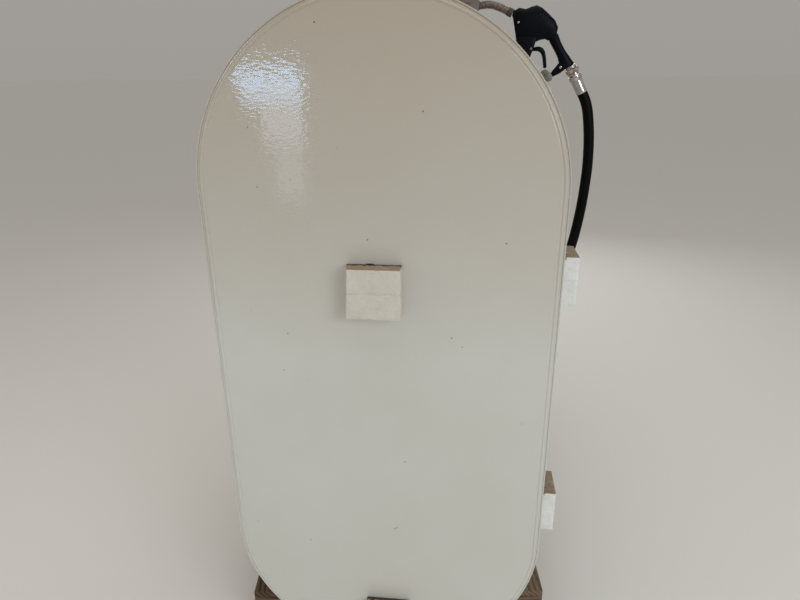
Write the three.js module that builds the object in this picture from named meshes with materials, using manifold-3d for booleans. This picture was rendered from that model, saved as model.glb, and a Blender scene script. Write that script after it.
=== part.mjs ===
// Flat-sided oval steel tank for diesel, standing upright on its delivery pallet,
// with a hose and nozzle hung at a pump housing on its top.
// Millimetres, +Z up. The origin is on the ground under the middle of the pallet.
// X runs across the tank, Y along its length, and its front end looks towards -Y.

import * as THREE from 'three';
import { mergeVertices } from 'three/addons/utils/BufferGeometryUtils.js';
import Module from 'manifold-3d';

const wasm = await Module();
wasm.setup();

// Tank shell
const TANK_WIDTH = 700;
const TANK_HEIGHT = 1500;
const TANK_LENGTH = 1640;
const SHELL_WALL = 3;
const FIT_GAP = 0.3;
const ARC_STEPS = 30; // facets in each half round

// Flanged end plates
const END_WALL = 4;
const END_KNUCKLE = 14;
const END_PROUD = 10; // from the shell's edge out to the plate's face
const END_FLANGE = 40;
const KNUCKLE_STEPS = 4;

// Saddle feet
const FOOT_HEIGHT = 50;
const SADDLE_Y = 450;
const SADDLE_WIDTH = 412;
const SADDLE_PLATE = 8;
const SADDLE_BASE_DEPTH = 80;
const STIFFENER_DEPTH = 60;
const STIFFENER_TOP = 100;

// Pallet
const PALLET_WIDTH = 840;
const PALLET_LENGTH = 1200;
const PALLET_TURN = THREE.MathUtils.degToRad(6.2);
const BOARD_THICK = 22;
const BLOCK_HEIGHT = 78;
const BEARER_DEPTH = 145;
const DECK_BOARD_WIDTHS = [145, 100, 145, 100, 145];
const SIDE_BLOCK_WIDTH = 100;
const MIDDLE_BLOCK_WIDTH = 145;
const TANK_OFFSET_X = 64; // the tank stands a little right of the pallet's middle

// Foam pads: size across, size up, thickness
const PAD_DEPTH = 39;
const END_PAD = [104, 103];
const SIDE_PAD = [88, 104];

// Inspection cover
const COVER_Y = -420;
const COVER_RADIUS = 125;
const COVER_THICK = 8;
const NECK_RADIUS = 100;
const NECK_TOP = 1545;
const NECK_FLANGE = 10;

// Fill pipe and its cap
const FILL_Y = 470;
const FILL_RADIUS = 30;
const FILL_TOP = 1570;
const FILL_CAP_RADIUS = 38;
const FILL_CAP_HEIGHT = 32;

// Level gauge
const GAUGE_Y = 240;
const GAUGE_STUB_RADIUS = 22;
const GAUGE_STUB_TOP = 1528;
const GAUGE_RADIUS = 42;
const GAUGE_HEIGHT = 46;

// Vent pipe and its cowl
const VENT_Y = 610;
const VENT_RADIUS = 24;
const VENT_TOP = 1640;
const COWL_RADIUS = 44;
const COWL_HEIGHT = 40;

// Lifting lugs
const LUG_Y = 735;
const LUG_LENGTH = 110;
const LUG_HEIGHT = 75;
const LUG_THICK = 12;
const LUG_HOLE_RADIUS = 18;
const LUG_SHOULDER_HEIGHT = 22.5;
const LUG_TOP_LENGTH = 49.5;

// Pump housing
const PUMP_LEFT = -100;
const PUMP_RIGHT = 180;
const PUMP_DEPTH = 220;
const PUMP_TOP = 1700;
const LID_OVERHANG = 8;
const LID_THICK = 14;

// Hose outlet on the pump housing's back
const OUTLET_X = 90;
const OUTLET_Z = 1580;
const OUTLET_RADIUS = 20;
const OUTLET_LENGTH = 26;
const FERRULE_RADIUS = 17;
const FERRULE_LENGTH = 54;

// Nozzle: everything here lies in one upright plane across the tank
const NOZZLE_Y = -60;
const BODY_WIDTH = 42;
const GRIP_WIDTH = 34;
const GUARD_WIDTH = 18;
const CLIP_WIDTH = 24;
const SPOUT_RADIUS = 10;
const SPOUT_BORE_GAP = 0.5;
const SPOUT_BORE_SPARE = 2; // behind the spout's tip
const SPOUT_BORE_LENGTH = 90;
const LEVER_WIDTH = 16;
const LEVER_HALF_THICK = 2.5;
const LEVER_SLOT_WIDTH = 20;
const LEVER_SLOT_LENGTH = 40; // forward of the pivot
const LEVER_SLOT_ABOVE = 16; // above the pivot
const LEVER_EYE_SPARE = [3, 6]; // behind and under the eye
const PIVOT = [327, 1416];
const PIVOT_PIN_RADIUS = 3.5;
const PIVOT_PIN_SUNK = 2; // each end of the pin inside the body's cheek
const PIVOT_EYE_RADIUS = 8;
const PIVOT_EYE_HOLE = 4.1;

// Swivel and hose
const SWIVEL_START = [440, 1371];
const SWIVEL_AXIS = new THREE.Vector2(0.477, -0.879).normalize();
const NUT_RADIUS = 19;
const NUT_LENGTH = 28;
const HOSE_RADIUS = 14.75;
const HOSE_LEAD = 20; // straight out of each ferrule
const HOSE_SIDES = 10;
const HOSE_STEPS = 64;

// Hose route in the tank's own frame, between the straight leads at its two ferrules:
// back off the outlet, over the right shoulder, down the side, one loop, and up to the nozzle.
const HOSE_ROUTE = [
  [94, 246, 1576.5], [108, 284, 1563], [130, 314, 1541], [156, 331, 1515.5],
  [197, 343, 1472], [240, 349.5, 1428.5], [283, 352.5, 1383], [318.5, 353, 1332.5], [345, 351, 1275],
  [362, 347, 1214], [368, 342, 1130], [368, 337, 1020], [368, 332, 900], [368, 327, 780],
  [369, 321, 660], [371, 315, 540], [374, 308, 420], [379, 298, 300], [383, 288, 220],
  [385, 276, 150], [387, 261, 107], [389, 232, 72], [391.5, 194, 50.5], [394, 151, 43],
  [396.5, 108, 50.5], [399, 70, 72], [401, 41, 107], [403, 28, 139],
  [407, 8, 215], [411, -10, 290], [418, -26.5, 370], [427, -42, 480], [438, -52, 590], [454, -58, 690],
  [474, -60, 780], [494, -60, 868], [507, -60, 960], [513, -60, 1040], [514.5, -60, 1100],
  [511, -60, 1170], [504.5, -60, 1222], [497.5, -60, 1257],
];

// Finishes
const enamel = finish(0xd9dcd6, 0.25, 0.0);
const bareSteel = finish(0x8b8a86, 0.45, 0.9);
const galvanised = finish(0xa9adb0, 0.5, 0.8);
const chrome = finish(0xc9cbd0, 0.2, 1.0);
const housingPaint = finish(0x8d857c, 0.55, 0.1);
const blackPlastic = finish(0x16181b, 0.5, 0.0);
const blackRubber = finish(0x121314, 0.6, 0.0);
const zincGrey = finish(0x8f9496, 0.45, 0.6);
const pine = finish(0x7d6a55, 0.85, 0.0);
const foam = finish(0xdfe4e2, 0.9, 0.0);

/** A standard material of one colour. */
function finish(color, roughness, metalness) {
  return new THREE.MeshStandardMaterial({ color, roughness, metalness });
}

/** A flat outline of [x, z] points, thickened along Y from yLow to yHigh. */
function plateAlongY(points, yLow, yHigh) {
  const shape = new THREE.Shape(points.map(([x, z]) => new THREE.Vector2(x, z)));
  const geometry = new THREE.ExtrudeGeometry(shape, { depth: yHigh - yLow, bevelEnabled: false });
  return geometry.rotateX(Math.PI / 2).translate(0, yHigh, 0);
}

/** A box between two corners. */
function boxBetween([x0, y0, z0], [x1, y1, z1]) {
  const geometry = new THREE.BoxGeometry(x1 - x0, y1 - y0, z1 - z0);
  return geometry.translate((x0 + x1) / 2, (y0 + y1) / 2, (z0 + z1) / 2);
}

/** A turned body on an upright axis: profile is [radius, height] from the axis and back to it. */
function turned(profile, steps = 32) {
  const points = profile.map(([radius, height]) => new THREE.Vector2(radius, height));
  return new THREE.LatheGeometry(points, steps).rotateX(Math.PI / 2);
}

/** A rod from one point along a direction. */
function rod(start, direction, length, radius, sides = 24) {
  const geometry = new THREE.CylinderGeometry(radius, radius, length, sides);
  geometry.translate(0, length / 2, 0);
  const turn = new THREE.Quaternion().setFromUnitVectors(new THREE.Vector3(0, 1, 0), direction);
  return geometry.applyQuaternion(turn).translate(start.x, start.y, start.z);
}

/** A round bar or hose along a smooth curve through the points. */
function tube(points, radius, sides, steps) {
  const curve = new THREE.CatmullRomCurve3(points, false, 'centripetal');
  const section = new THREE.Shape();
  for (let i = 0; i < sides; i += 1) {
    const angle = (2 * Math.PI * i) / sides;
    const [x, y] = [radius * Math.cos(angle), radius * Math.sin(angle)];
    if (i === 0) section.moveTo(x, y);
    else section.lineTo(x, y);
  }
  return new THREE.ExtrudeGeometry(section, { steps, extrudePath: curve, bevelEnabled: false });
}

/** The closed geometry as a solid for joining and cutting. */
function solid(geometry) {
  const bare = geometry.clone();
  bare.deleteAttribute('normal');
  bare.deleteAttribute('uv');
  const merged = mergeVertices(bare, 1e-4);
  const vertProperties = new Float32Array(merged.attributes.position.array);
  const triVerts = new Uint32Array(merged.index.array);
  return new wasm.Manifold(new wasm.Mesh({ numProp: 3, vertProperties, triVerts }));
}

/** A joined or cut solid back as geometry. */
function shown(manifold) {
  const { vertProperties, triVerts } = manifold.getMesh();
  const geometry = new THREE.BufferGeometry();
  geometry.setAttribute('position', new THREE.BufferAttribute(new Float32Array(vertProperties), 3));
  geometry.setIndex(new THREE.BufferAttribute(new Uint32Array(triVerts), 1));
  geometry.computeVertexNormals();
  return geometry;
}

/** Adds a named mesh to a group. */
function addPart(group, name, geometry, material) {
  const mesh = new THREE.Mesh(geometry, material);
  mesh.name = name;
  group.add(mesh);
  return mesh;
}

/** [x, z] points of a half round about a centre height, from one angle to another in degrees. */
function halfRound(centreZ, radius, fromDegrees, toDegrees) {
  const points = [];
  for (let i = 0; i <= ARC_STEPS; i += 1) {
    const share = i / ARC_STEPS;
    const angle = THREE.MathUtils.degToRad(fromDegrees + (toDegrees - fromDegrees) * share);
    points.push([radius * Math.cos(angle), centreZ + radius * Math.sin(angle)]);
  }
  return points;
}

const ROUND = TANK_WIDTH / 2;
const LOW_CENTRE = ROUND;
const HIGH_CENTRE = TANK_HEIGHT - ROUND;
const HALF_LENGTH = TANK_LENGTH / 2;

/** The tank's oval outline, drawn in by an inset, anticlockwise from the lower left. */
function oval(inset) {
  const radius = ROUND - inset;
  return [...halfRound(LOW_CENTRE, radius, 180, 360), ...halfRound(HIGH_CENTRE, radius, 0, 180)];
}

/** The space that the shell takes, a fit gap larger all round. */
const shellSpace = solid(plateAlongY(oval(-FIT_GAP), -HALF_LENGTH, HALF_LENGTH));

/** Cuts a piece back to a fit gap outside the shell. */
function seatedOnShell(geometry) {
  return shown(solid(geometry).subtract(shellSpace));
}

/** Half of a rolled shell: a half round of sheet. */
function shellArc(centreZ, fromDegrees, toDegrees, yEnd) {
  const outer = halfRound(centreZ, ROUND, fromDegrees, toDegrees);
  const inner = halfRound(centreZ, ROUND - SHELL_WALL, fromDegrees, toDegrees);
  return plateAlongY([...outer, ...inner.reverse()], -yEnd, yEnd);
}

/** Rings of [inset, y] joined into one closed pan, with a flat cap on the first and last ring. */
function pan(rings) {
  const count = oval(0).length;
  const positions = [];
  for (const [inset, y] of rings) {
    for (const [x, z] of oval(inset)) positions.push(x, y, z);
  }
  const index = [];
  for (let ring = 0; ring + 1 < rings.length; ring += 1) {
    for (let i = 0; i < count; i += 1) {
      const next = (i + 1) % count;
      const [a, b] = [ring * count + i, ring * count + next];
      const [c, d] = [a + count, b + count];
      index.push(a, b, d, a, d, c);
    }
  }
  const firstHub = positions.length / 3;
  positions.push(0, rings[0][1], TANK_HEIGHT / 2);
  positions.push(0, rings[rings.length - 1][1], TANK_HEIGHT / 2);
  const lastRing = (rings.length - 1) * count;
  for (let i = 0; i < count; i += 1) {
    const next = (i + 1) % count;
    index.push(firstHub, next, i, firstHub + 1, lastRing + i, lastRing + next);
  }
  const geometry = new THREE.BufferGeometry();
  geometry.setAttribute('position', new THREE.Float32BufferAttribute(positions, 3));
  geometry.setIndex(index);
  geometry.computeVertexNormals();
  return geometry;
}

/** A flanged end: flat face, rounded knuckle, and a flange that sits inside the shell. */
function endPlate() {
  const edge = SHELL_WALL + FIT_GAP;
  const face = -HALF_LENGTH;
  const rings = [];
  for (let i = 0; i <= KNUCKLE_STEPS; i += 1) {
    const angle = (i / KNUCKLE_STEPS) * (Math.PI / 2);
    const run = END_KNUCKLE - END_WALL;
    const inset = edge + END_KNUCKLE - run * Math.sin(angle);
    rings.push([inset, face + END_KNUCKLE - run * Math.cos(angle)]);
  }
  rings.push([edge + END_WALL, face + END_FLANGE], [edge, face + END_FLANGE]);
  for (let i = KNUCKLE_STEPS; i >= 0; i -= 1) {
    const angle = (i / KNUCKLE_STEPS) * (Math.PI / 2);
    const inset = edge + END_KNUCKLE * (1 - Math.sin(angle));
    rings.push([inset, face + END_KNUCKLE * (1 - Math.cos(angle))]);
  }
  return pan(rings);
}

/** Shell and end plates. */
function buildShell(tank) {
  const yEnd = HALF_LENGTH - END_PROUD;
  addPart(tank, 'shell_bottom_round', shellArc(LOW_CENTRE, 180, 360, yEnd), enamel);
  addPart(tank, 'shell_top_round', shellArc(HIGH_CENTRE, 0, 180, yEnd), enamel);
  for (const [name, outer, inner] of [
    ['shell_left_side', -ROUND, -ROUND + SHELL_WALL],
    ['shell_right_side', ROUND - SHELL_WALL, ROUND],
  ]) {
    const low = [Math.min(outer, inner), -yEnd, LOW_CENTRE + FIT_GAP];
    const high = [Math.max(outer, inner), yEnd, HIGH_CENTRE - FIT_GAP];
    addPart(tank, name, boxBetween(low, high), enamel);
  }
  addPart(tank, 'end_plate_front', endPlate(), enamel);
  addPart(tank, 'end_plate_rear', endPlate().rotateZ(Math.PI), enamel);
}

/** A welded saddle: base plate, upright web cut to the round, and a stiffener at each end. */
function saddle() {
  const half = SADDLE_WIDTH / 2;
  const baseTop = -FOOT_HEIGHT + SADDLE_PLATE;
  const base = boxBetween(
    [-half, -SADDLE_BASE_DEPTH / 2, -FOOT_HEIGHT],
    [half, SADDLE_BASE_DEPTH / 2, baseTop],
  );
  const web = boxBetween(
    [-half, -SADDLE_PLATE / 2, baseTop - 1],
    [half, SADDLE_PLATE / 2, STIFFENER_TOP],
  );
  let body = solid(base).add(solid(web));
  for (const side of [-1, 1]) {
    const edges = [side * half, side * (half - SADDLE_PLATE)].sort((a, b) => a - b);
    const stiffener = boxBetween(
      [edges[0], -STIFFENER_DEPTH / 2, baseTop - 1],
      [edges[1], STIFFENER_DEPTH / 2, STIFFENER_TOP],
    );
    body = body.add(solid(stiffener));
  }
  return seatedOnShell(shown(body));
}

/** The two saddle feet. */
function buildSaddles(tank) {
  addPart(tank, 'saddle_front', saddle(), enamel).position.y = -SADDLE_Y;
  addPart(tank, 'saddle_rear', saddle(), enamel).position.y = SADDLE_Y;
}

/** Foam pads on the end plates and the right side. */
function buildPads(tank) {
  const [endWidth, endHeight] = END_PAD;
  const [sideWidth, sideHeight] = SIDE_PAD;
  const face = HALF_LENGTH + FIT_GAP;
  const wall = ROUND + FIT_GAP;
  const endPad = boxBetween(
    [-endWidth / 2, face, -endHeight / 2],
    [endWidth / 2, face + PAD_DEPTH, endHeight / 2],
  );
  const sidePad = boxBetween(
    [wall, -sideWidth / 2, -sideHeight / 2],
    [wall + PAD_DEPTH, sideWidth / 2, sideHeight / 2],
  );
  for (const [name, x, z] of [['centre', -7, 963], ['bottom', 4, 114]]) {
    const front = addPart(tank, `end_pad_front_${name}`, endPad.clone().rotateZ(Math.PI), foam);
    front.position.set(x, 0, z);
    addPart(tank, `end_pad_rear_${name}`, endPad.clone(), foam).position.set(x, 0, z);
  }
  for (const [name, z] of [['upper', 966], ['lower', 400]]) {
    addPart(tank, `side_pad_front_${name}`, sidePad.clone(), foam).position.set(0, -712, z);
    addPart(tank, `side_pad_rear_${name}`, sidePad.clone(), foam).position.set(0, 712, z);
  }
}

/** Inspection neck and cover. */
function buildInspection(tank) {
  const flangeLow = NECK_TOP - NECK_FLANGE;
  const neck = turned([
    [0, HIGH_CENTRE], [NECK_RADIUS, HIGH_CENTRE], [NECK_RADIUS, flangeLow],
    [COVER_RADIUS, flangeLow], [COVER_RADIUS, NECK_TOP], [0, NECK_TOP],
  ], 36).translate(0, COVER_Y, 0);
  addPart(tank, 'inspection_neck', seatedOnShell(neck), enamel);
  const coverLow = NECK_TOP + FIT_GAP;
  const cover = turned([
    [0, coverLow], [COVER_RADIUS, coverLow], [COVER_RADIUS, coverLow + COVER_THICK],
    [0, coverLow + COVER_THICK],
  ], 36);
  addPart(tank, 'inspection_cover', cover, enamel).position.y = COVER_Y;
}

/** Fill pipe with its cap, vent pipe with its cowl, and the level gauge. */
function buildPipes(tank) {
  const fill = turned([
    [0, HIGH_CENTRE], [FILL_RADIUS, HIGH_CENTRE], [FILL_RADIUS, FILL_TOP], [0, FILL_TOP],
  ]).translate(0, FILL_Y, 0);
  addPart(tank, 'fill_pipe', seatedOnShell(fill), enamel);
  const capLow = FILL_TOP + FIT_GAP;
  const cap = turned([
    [0, capLow], [FILL_CAP_RADIUS - 4, capLow], [FILL_CAP_RADIUS, capLow + 4],
    [FILL_CAP_RADIUS, capLow + FILL_CAP_HEIGHT - 5],
    [FILL_CAP_RADIUS - 5, capLow + FILL_CAP_HEIGHT], [0, capLow + FILL_CAP_HEIGHT],
  ]);
  addPart(tank, 'fill_cap', cap, galvanised).position.y = FILL_Y;

  const vent = turned([
    [0, HIGH_CENTRE], [VENT_RADIUS, HIGH_CENTRE], [VENT_RADIUS, VENT_TOP], [0, VENT_TOP],
  ]).translate(0, VENT_Y, 0);
  addPart(tank, 'vent_pipe', seatedOnShell(vent), enamel);
  const cowlLow = VENT_TOP + FIT_GAP;
  const cowl = turned([
    [0, cowlLow], [COWL_RADIUS, cowlLow], [COWL_RADIUS, cowlLow + COWL_HEIGHT * 0.35],
    [COWL_RADIUS * 0.8, cowlLow + COWL_HEIGHT * 0.8], [COWL_RADIUS * 0.4, cowlLow + COWL_HEIGHT],
    [0, cowlLow + COWL_HEIGHT],
  ]);
  addPart(tank, 'vent_cowl', cowl, galvanised).position.y = VENT_Y;

  const gauge = turned([
    [0, HIGH_CENTRE], [GAUGE_STUB_RADIUS, HIGH_CENTRE], [GAUGE_STUB_RADIUS, GAUGE_STUB_TOP],
    [GAUGE_RADIUS - 6, GAUGE_STUB_TOP], [GAUGE_RADIUS, GAUGE_STUB_TOP + 8],
    [GAUGE_RADIUS, GAUGE_STUB_TOP + GAUGE_HEIGHT], [0, GAUGE_STUB_TOP + GAUGE_HEIGHT],
  ]).translate(0, GAUGE_Y, 0);
  addPart(tank, 'level_gauge', seatedOnShell(gauge), galvanised);
}

/** A lifting lug: an upright plate along the tank with a round hole. */
function lug() {
  const half = LUG_LENGTH / 2;
  const halfTop = LUG_TOP_LENGTH / 2;
  const shoulder = TANK_HEIGHT + LUG_SHOULDER_HEIGHT;
  const top = TANK_HEIGHT + LUG_HEIGHT;
  const holeZ = top - LUG_HEIGHT / 2;
  const outline = new THREE.Shape([
    new THREE.Vector2(-half, HIGH_CENTRE),
    new THREE.Vector2(half, HIGH_CENTRE),
    new THREE.Vector2(half, shoulder),
    new THREE.Vector2(halfTop, top),
    new THREE.Vector2(-halfTop, top),
    new THREE.Vector2(-half, shoulder),
  ]);
  const hole = new THREE.Path().absarc(0, holeZ, LUG_HOLE_RADIUS, 0, 2 * Math.PI, true);
  outline.holes.push(hole);
  const plate = new THREE.ExtrudeGeometry(outline, {
    depth: LUG_THICK, bevelEnabled: false, curveSegments: 10,
  });
  plate.rotateX(Math.PI / 2).translate(0, LUG_THICK / 2, 0).rotateZ(Math.PI / 2);
  return seatedOnShell(plate);
}

/** The two lifting lugs. */
function buildLugs(tank) {
  addPart(tank, 'lifting_lug_front', lug(), enamel).position.y = -LUG_Y;
  addPart(tank, 'lifting_lug_rear', lug(), enamel).position.y = LUG_Y;
}

/** A point of the nozzle's plane in the tank's frame. */
function onNozzlePlane([x, z]) {
  return new THREE.Vector3(x, NOZZLE_Y, z);
}

/** An outline in the nozzle's plane, thickened evenly to both sides. */
function nozzlePlate(points, width) {
  return plateAlongY(points, NOZZLE_Y - width / 2, NOZZLE_Y + width / 2);
}

// The spout rises from the nozzle's body, bends over and runs straight into the housing's bore.
const SPOUT_CURVE = [
  [271.7, 1505.7], [256, 1514], [241, 1522], [227, 1528.5], [213, 1532.6], [199, 1533.6],
  [186, 1531.9], [170, 1527.3], [152, 1521.8], [134, 1516.3],
];

/** The bore that the spout's tip sits in. */
function spoutBore() {
  const tip = onNozzlePlane(SPOUT_CURVE[SPOUT_CURVE.length - 1]);
  const mouth = onNozzlePlane(SPOUT_CURVE[SPOUT_CURVE.length - 3]);
  const direction = mouth.clone().sub(tip).normalize();
  const start = tip.clone().addScaledVector(direction, -SPOUT_BORE_SPARE);
  return rod(start, direction, SPOUT_BORE_LENGTH, SPOUT_RADIUS + SPOUT_BORE_GAP);
}

/** Pump housing with its lid and the hose outlet on its back. */
function buildPumpHousing(tank) {
  const back = PUMP_DEPTH / 2;
  const box = boxBetween([PUMP_LEFT, -back, HIGH_CENTRE], [PUMP_RIGHT, back, PUMP_TOP]);
  const housing = solid(box).subtract(shellSpace).subtract(solid(spoutBore()));
  addPart(tank, 'pump_housing', shown(housing), housingPaint);
  const lid = boxBetween(
    [PUMP_LEFT - LID_OVERHANG, -back - LID_OVERHANG, PUMP_TOP + FIT_GAP],
    [PUMP_RIGHT + LID_OVERHANG, back + LID_OVERHANG, PUMP_TOP + FIT_GAP + LID_THICK],
  );
  addPart(tank, 'pump_housing_lid', lid, housingPaint);

  const along = new THREE.Vector3(0, 1, 0);
  const outletStart = new THREE.Vector3(OUTLET_X, back + FIT_GAP, OUTLET_Z);
  addPart(tank, 'hose_outlet', rod(outletStart, along, OUTLET_LENGTH, OUTLET_RADIUS, 6), galvanised);
  const ferruleStart = outletStart.clone().addScaledVector(along, OUTLET_LENGTH + FIT_GAP);
  const ferrule = rod(ferruleStart, along, FERRULE_LENGTH, FERRULE_RADIUS);
  addPart(tank, 'hose_ferrule_pump', ferrule, chrome);
}

/** Nozzle body with the slot and pin that carry the lever. */
function nozzleBody() {
  const outline = [
    [278.6, 1517.9], [289, 1521], [308, 1517.5], [322, 1523], [337, 1526.8], [352, 1520],
    [368.4, 1506.5], [388.7, 1488.5], [398, 1470.7], [394.5, 1461], [396.8, 1453.2],
    [376.4, 1435.6], [365.3, 1440.7], [349, 1438.4], [341.2, 1433.3], [339, 1420],
    [334, 1392], [330, 1386], [306, 1392], [296, 1412], [288.7, 1436.6], [265.4, 1493.1],
  ];
  const [pivotX, pivotZ] = PIVOT;
  const [spareBehind, spareUnder] = LEVER_EYE_SPARE;
  const slotHalf = LEVER_SLOT_WIDTH / 2;
  const slotBack = pivotX - PIVOT_EYE_RADIUS - spareBehind;
  const slotLow = pivotZ - PIVOT_EYE_RADIUS - spareUnder;
  const slot = boxBetween(
    [slotBack, NOZZLE_Y - slotHalf, slotLow],
    [pivotX + LEVER_SLOT_LENGTH, NOZZLE_Y + slotHalf, pivotZ + LEVER_SLOT_ABOVE],
  );
  const pinLength = BODY_WIDTH - 2 * PIVOT_PIN_SUNK;
  const pinStart = new THREE.Vector3(pivotX, NOZZLE_Y - pinLength / 2, pivotZ);
  const pin = rod(pinStart, new THREE.Vector3(0, 1, 0), pinLength, PIVOT_PIN_RADIUS, 16);
  const body = solid(nozzlePlate(outline.reverse(), BODY_WIDTH));
  return shown(body.subtract(solid(slot)).add(solid(pin)));
}

/** Lever: an eye on the pivot pin, a short arm out of the body and a long one hanging down. */
function nozzleLever() {
  const [pivotX, pivotZ] = PIVOT;
  const t = LEVER_HALF_THICK;
  const arm = nozzlePlate([
    [pivotX + 5, pivotZ + t], [357, 1418.5 + t], [362.5, 1415], [366, 1404], [373.5, 1370],
    [368.6, 1368.8], [361, 1403], [357.8, 1412.2], [355, 1416 - t + 1], [pivotX + 5, pivotZ - t],
  ].reverse(), LEVER_WIDTH);
  const along = new THREE.Vector3(0, 1, 0);
  const eyeStart = new THREE.Vector3(pivotX, NOZZLE_Y - LEVER_WIDTH / 2, pivotZ);
  const eye = rod(eyeStart, along, LEVER_WIDTH, PIVOT_EYE_RADIUS, 20);
  const holeStart = eyeStart.clone().addScaledVector(along, -1);
  const hole = rod(holeStart, along, LEVER_WIDTH + 2, PIVOT_EYE_HOLE, 16);
  return shown(solid(arm).add(solid(eye)).subtract(solid(hole)));
}

/** Grip with the arm at its lower end that holds the guard. */
function nozzleGrip() {
  return nozzlePlate([
    [397, 1453], [422, 1411.7], [450.5, 1376.7], [429.5, 1365.3], [410.6, 1354.4],
    [392, 1344], [388.7, 1351.9], [403.8, 1370.3], [411.2, 1380.7], [395.3, 1406.9],
    [376.6, 1435.4],
  ].reverse(), GRIP_WIDTH);
}

/** Guard strap from the body's foot down to the latch clip. */
function nozzleGuard() {
  return nozzlePlate([
    [308, 1391.2], [316, 1389.2], [327, 1371], [343, 1357.5], [360.3, 1351], [360.3, 1343.5],
    [339, 1350.5], [320, 1366],
  ].reverse(), GUARD_WIDTH);
}

/** Latch clip between the guard strap and the grip's arm. */
function latchClip() {
  return nozzlePlate([
    [360.6, 1356], [371, 1361.5], [388.3, 1352], [391.5, 1343.7], [389.5, 1336], [374, 1337],
    [360.6, 1343],
  ].reverse(), CLIP_WIDTH);
}

/** The nozzle with its swivel and ferrule. */
function buildNozzle(tank) {
  addPart(tank, 'nozzle_body', nozzleBody(), blackPlastic);
  addPart(tank, 'nozzle_grip', nozzleGrip(), blackPlastic);
  addPart(tank, 'nozzle_guard', nozzleGuard(), blackPlastic);
  addPart(tank, 'nozzle_latch_clip', latchClip(), zincGrey);
  addPart(tank, 'nozzle_lever', nozzleLever(), blackPlastic);
  const spout = tube(SPOUT_CURVE.map(onNozzlePlane), SPOUT_RADIUS, 16, 24);
  addPart(tank, 'nozzle_spout', spout, bareSteel);

  const axis = new THREE.Vector3(SWIVEL_AXIS.x, 0, SWIVEL_AXIS.y);
  const nutStart = onNozzlePlane(SWIVEL_START).addScaledVector(axis, FIT_GAP);
  addPart(tank, 'nozzle_swivel', rod(nutStart, axis, NUT_LENGTH, NUT_RADIUS, 6), chrome);
  const ferruleStart = nutStart.clone().addScaledVector(axis, NUT_LENGTH + FIT_GAP);
  const ferrule = rod(ferruleStart, axis, FERRULE_LENGTH, FERRULE_RADIUS);
  addPart(tank, 'hose_ferrule_nozzle', ferrule, chrome);
  const hoseEnd = ferruleStart.clone().addScaledVector(axis, FERRULE_LENGTH + FIT_GAP);

  const pumpEndY = PUMP_DEPTH / 2 + OUTLET_LENGTH + FERRULE_LENGTH + 3 * FIT_GAP;
  const hoseStart = new THREE.Vector3(OUTLET_X, pumpEndY, OUTLET_Z);
  const route = [
    hoseStart,
    hoseStart.clone().setY(pumpEndY + HOSE_LEAD),
    ...HOSE_ROUTE.map(([x, y, z]) => new THREE.Vector3(x, y, z)),
    hoseEnd.clone().addScaledVector(axis, HOSE_LEAD),
    hoseEnd,
  ];
  const hose = tube(route, HOSE_RADIUS, HOSE_SIDES, HOSE_STEPS);
  addPart(tank, 'dispensing_hose', hose, blackRubber);
}

/** Pallet: bottom boards, bearers of blocks under a cross board, and deck boards. */
function buildPallet(pallet) {
  const halfLength = PALLET_LENGTH / 2;
  const halfWidth = PALLET_WIDTH / 2;
  const middle = MIDDLE_BLOCK_WIDTH / 2;
  const sideInner = halfWidth - SIDE_BLOCK_WIDTH;
  for (const [name, low, high] of [
    ['left', -halfWidth, -sideInner], ['middle', -middle, middle], ['right', sideInner, halfWidth],
  ]) {
    const board = boxBetween([low, -halfLength, 0], [high, halfLength, BOARD_THICK]);
    addPart(pallet, `pallet_bottom_board_${name}`, board, pine);
  }

  const blockLow = BOARD_THICK + FIT_GAP;
  const blockHigh = BOARD_THICK + BLOCK_HEIGHT;
  const bearerTop = blockHigh + BOARD_THICK - FIT_GAP;
  const bearer = [
    [-halfWidth, blockLow], [-sideInner, blockLow], [-sideInner, blockHigh],
    [-middle, blockHigh], [-middle, blockLow], [middle, blockLow], [middle, blockHigh],
    [sideInner, blockHigh], [sideInner, blockLow], [halfWidth, blockLow],
    [halfWidth, bearerTop], [-halfWidth, bearerTop],
  ];
  const bearerPitch = halfLength - BEARER_DEPTH / 2;
  for (const [name, y] of [['front', -bearerPitch], ['middle', 0], ['rear', bearerPitch]]) {
    const body = plateAlongY(bearer, y - BEARER_DEPTH / 2, y + BEARER_DEPTH / 2);
    addPart(pallet, `pallet_bearer_${name}`, body, pine);
  }

  const deckLow = blockHigh + BOARD_THICK;
  const deckHigh = deckLow + BOARD_THICK;
  const boardsWidth = DECK_BOARD_WIDTHS.reduce((sum, width) => sum + width, 0);
  const gap = (PALLET_WIDTH - boardsWidth) / (DECK_BOARD_WIDTHS.length - 1);
  let edge = -halfWidth;
  DECK_BOARD_WIDTHS.forEach((width, i) => {
    const board = boxBetween([edge, -halfLength, deckLow], [edge + width, halfLength, deckHigh]);
    addPart(pallet, `pallet_deck_board_${i + 1}`, board, pine);
    edge += width + gap;
  });
}

const group = new THREE.Group();

const pallet = new THREE.Group();
pallet.rotation.z = PALLET_TURN;
buildPallet(pallet);
group.add(pallet);

const tank = new THREE.Group();
const DECK_TOP = 3 * BOARD_THICK + BLOCK_HEIGHT;
tank.position.set(TANK_OFFSET_X, 0, DECK_TOP + FIT_GAP + FOOT_HEIGHT);
buildShell(tank);
buildSaddles(tank);
buildPads(tank);
buildInspection(tank);
buildPipes(tank);
buildLugs(tank);
buildPumpHousing(tank);
buildNozzle(tank);
group.add(tank);

export default group;
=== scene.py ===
"""Upright oval diesel tank on its delivery pallet.

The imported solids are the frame, and this script dresses them: a rolled, enamelled shell with
flanged ends, foam pads, the fittings on its top, a pump housing, a hose with its nozzle, and a
softwood pallet. Each sub-assembly is modelled in its own millimetres, and its space places it.
"""

from __future__ import annotations

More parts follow.
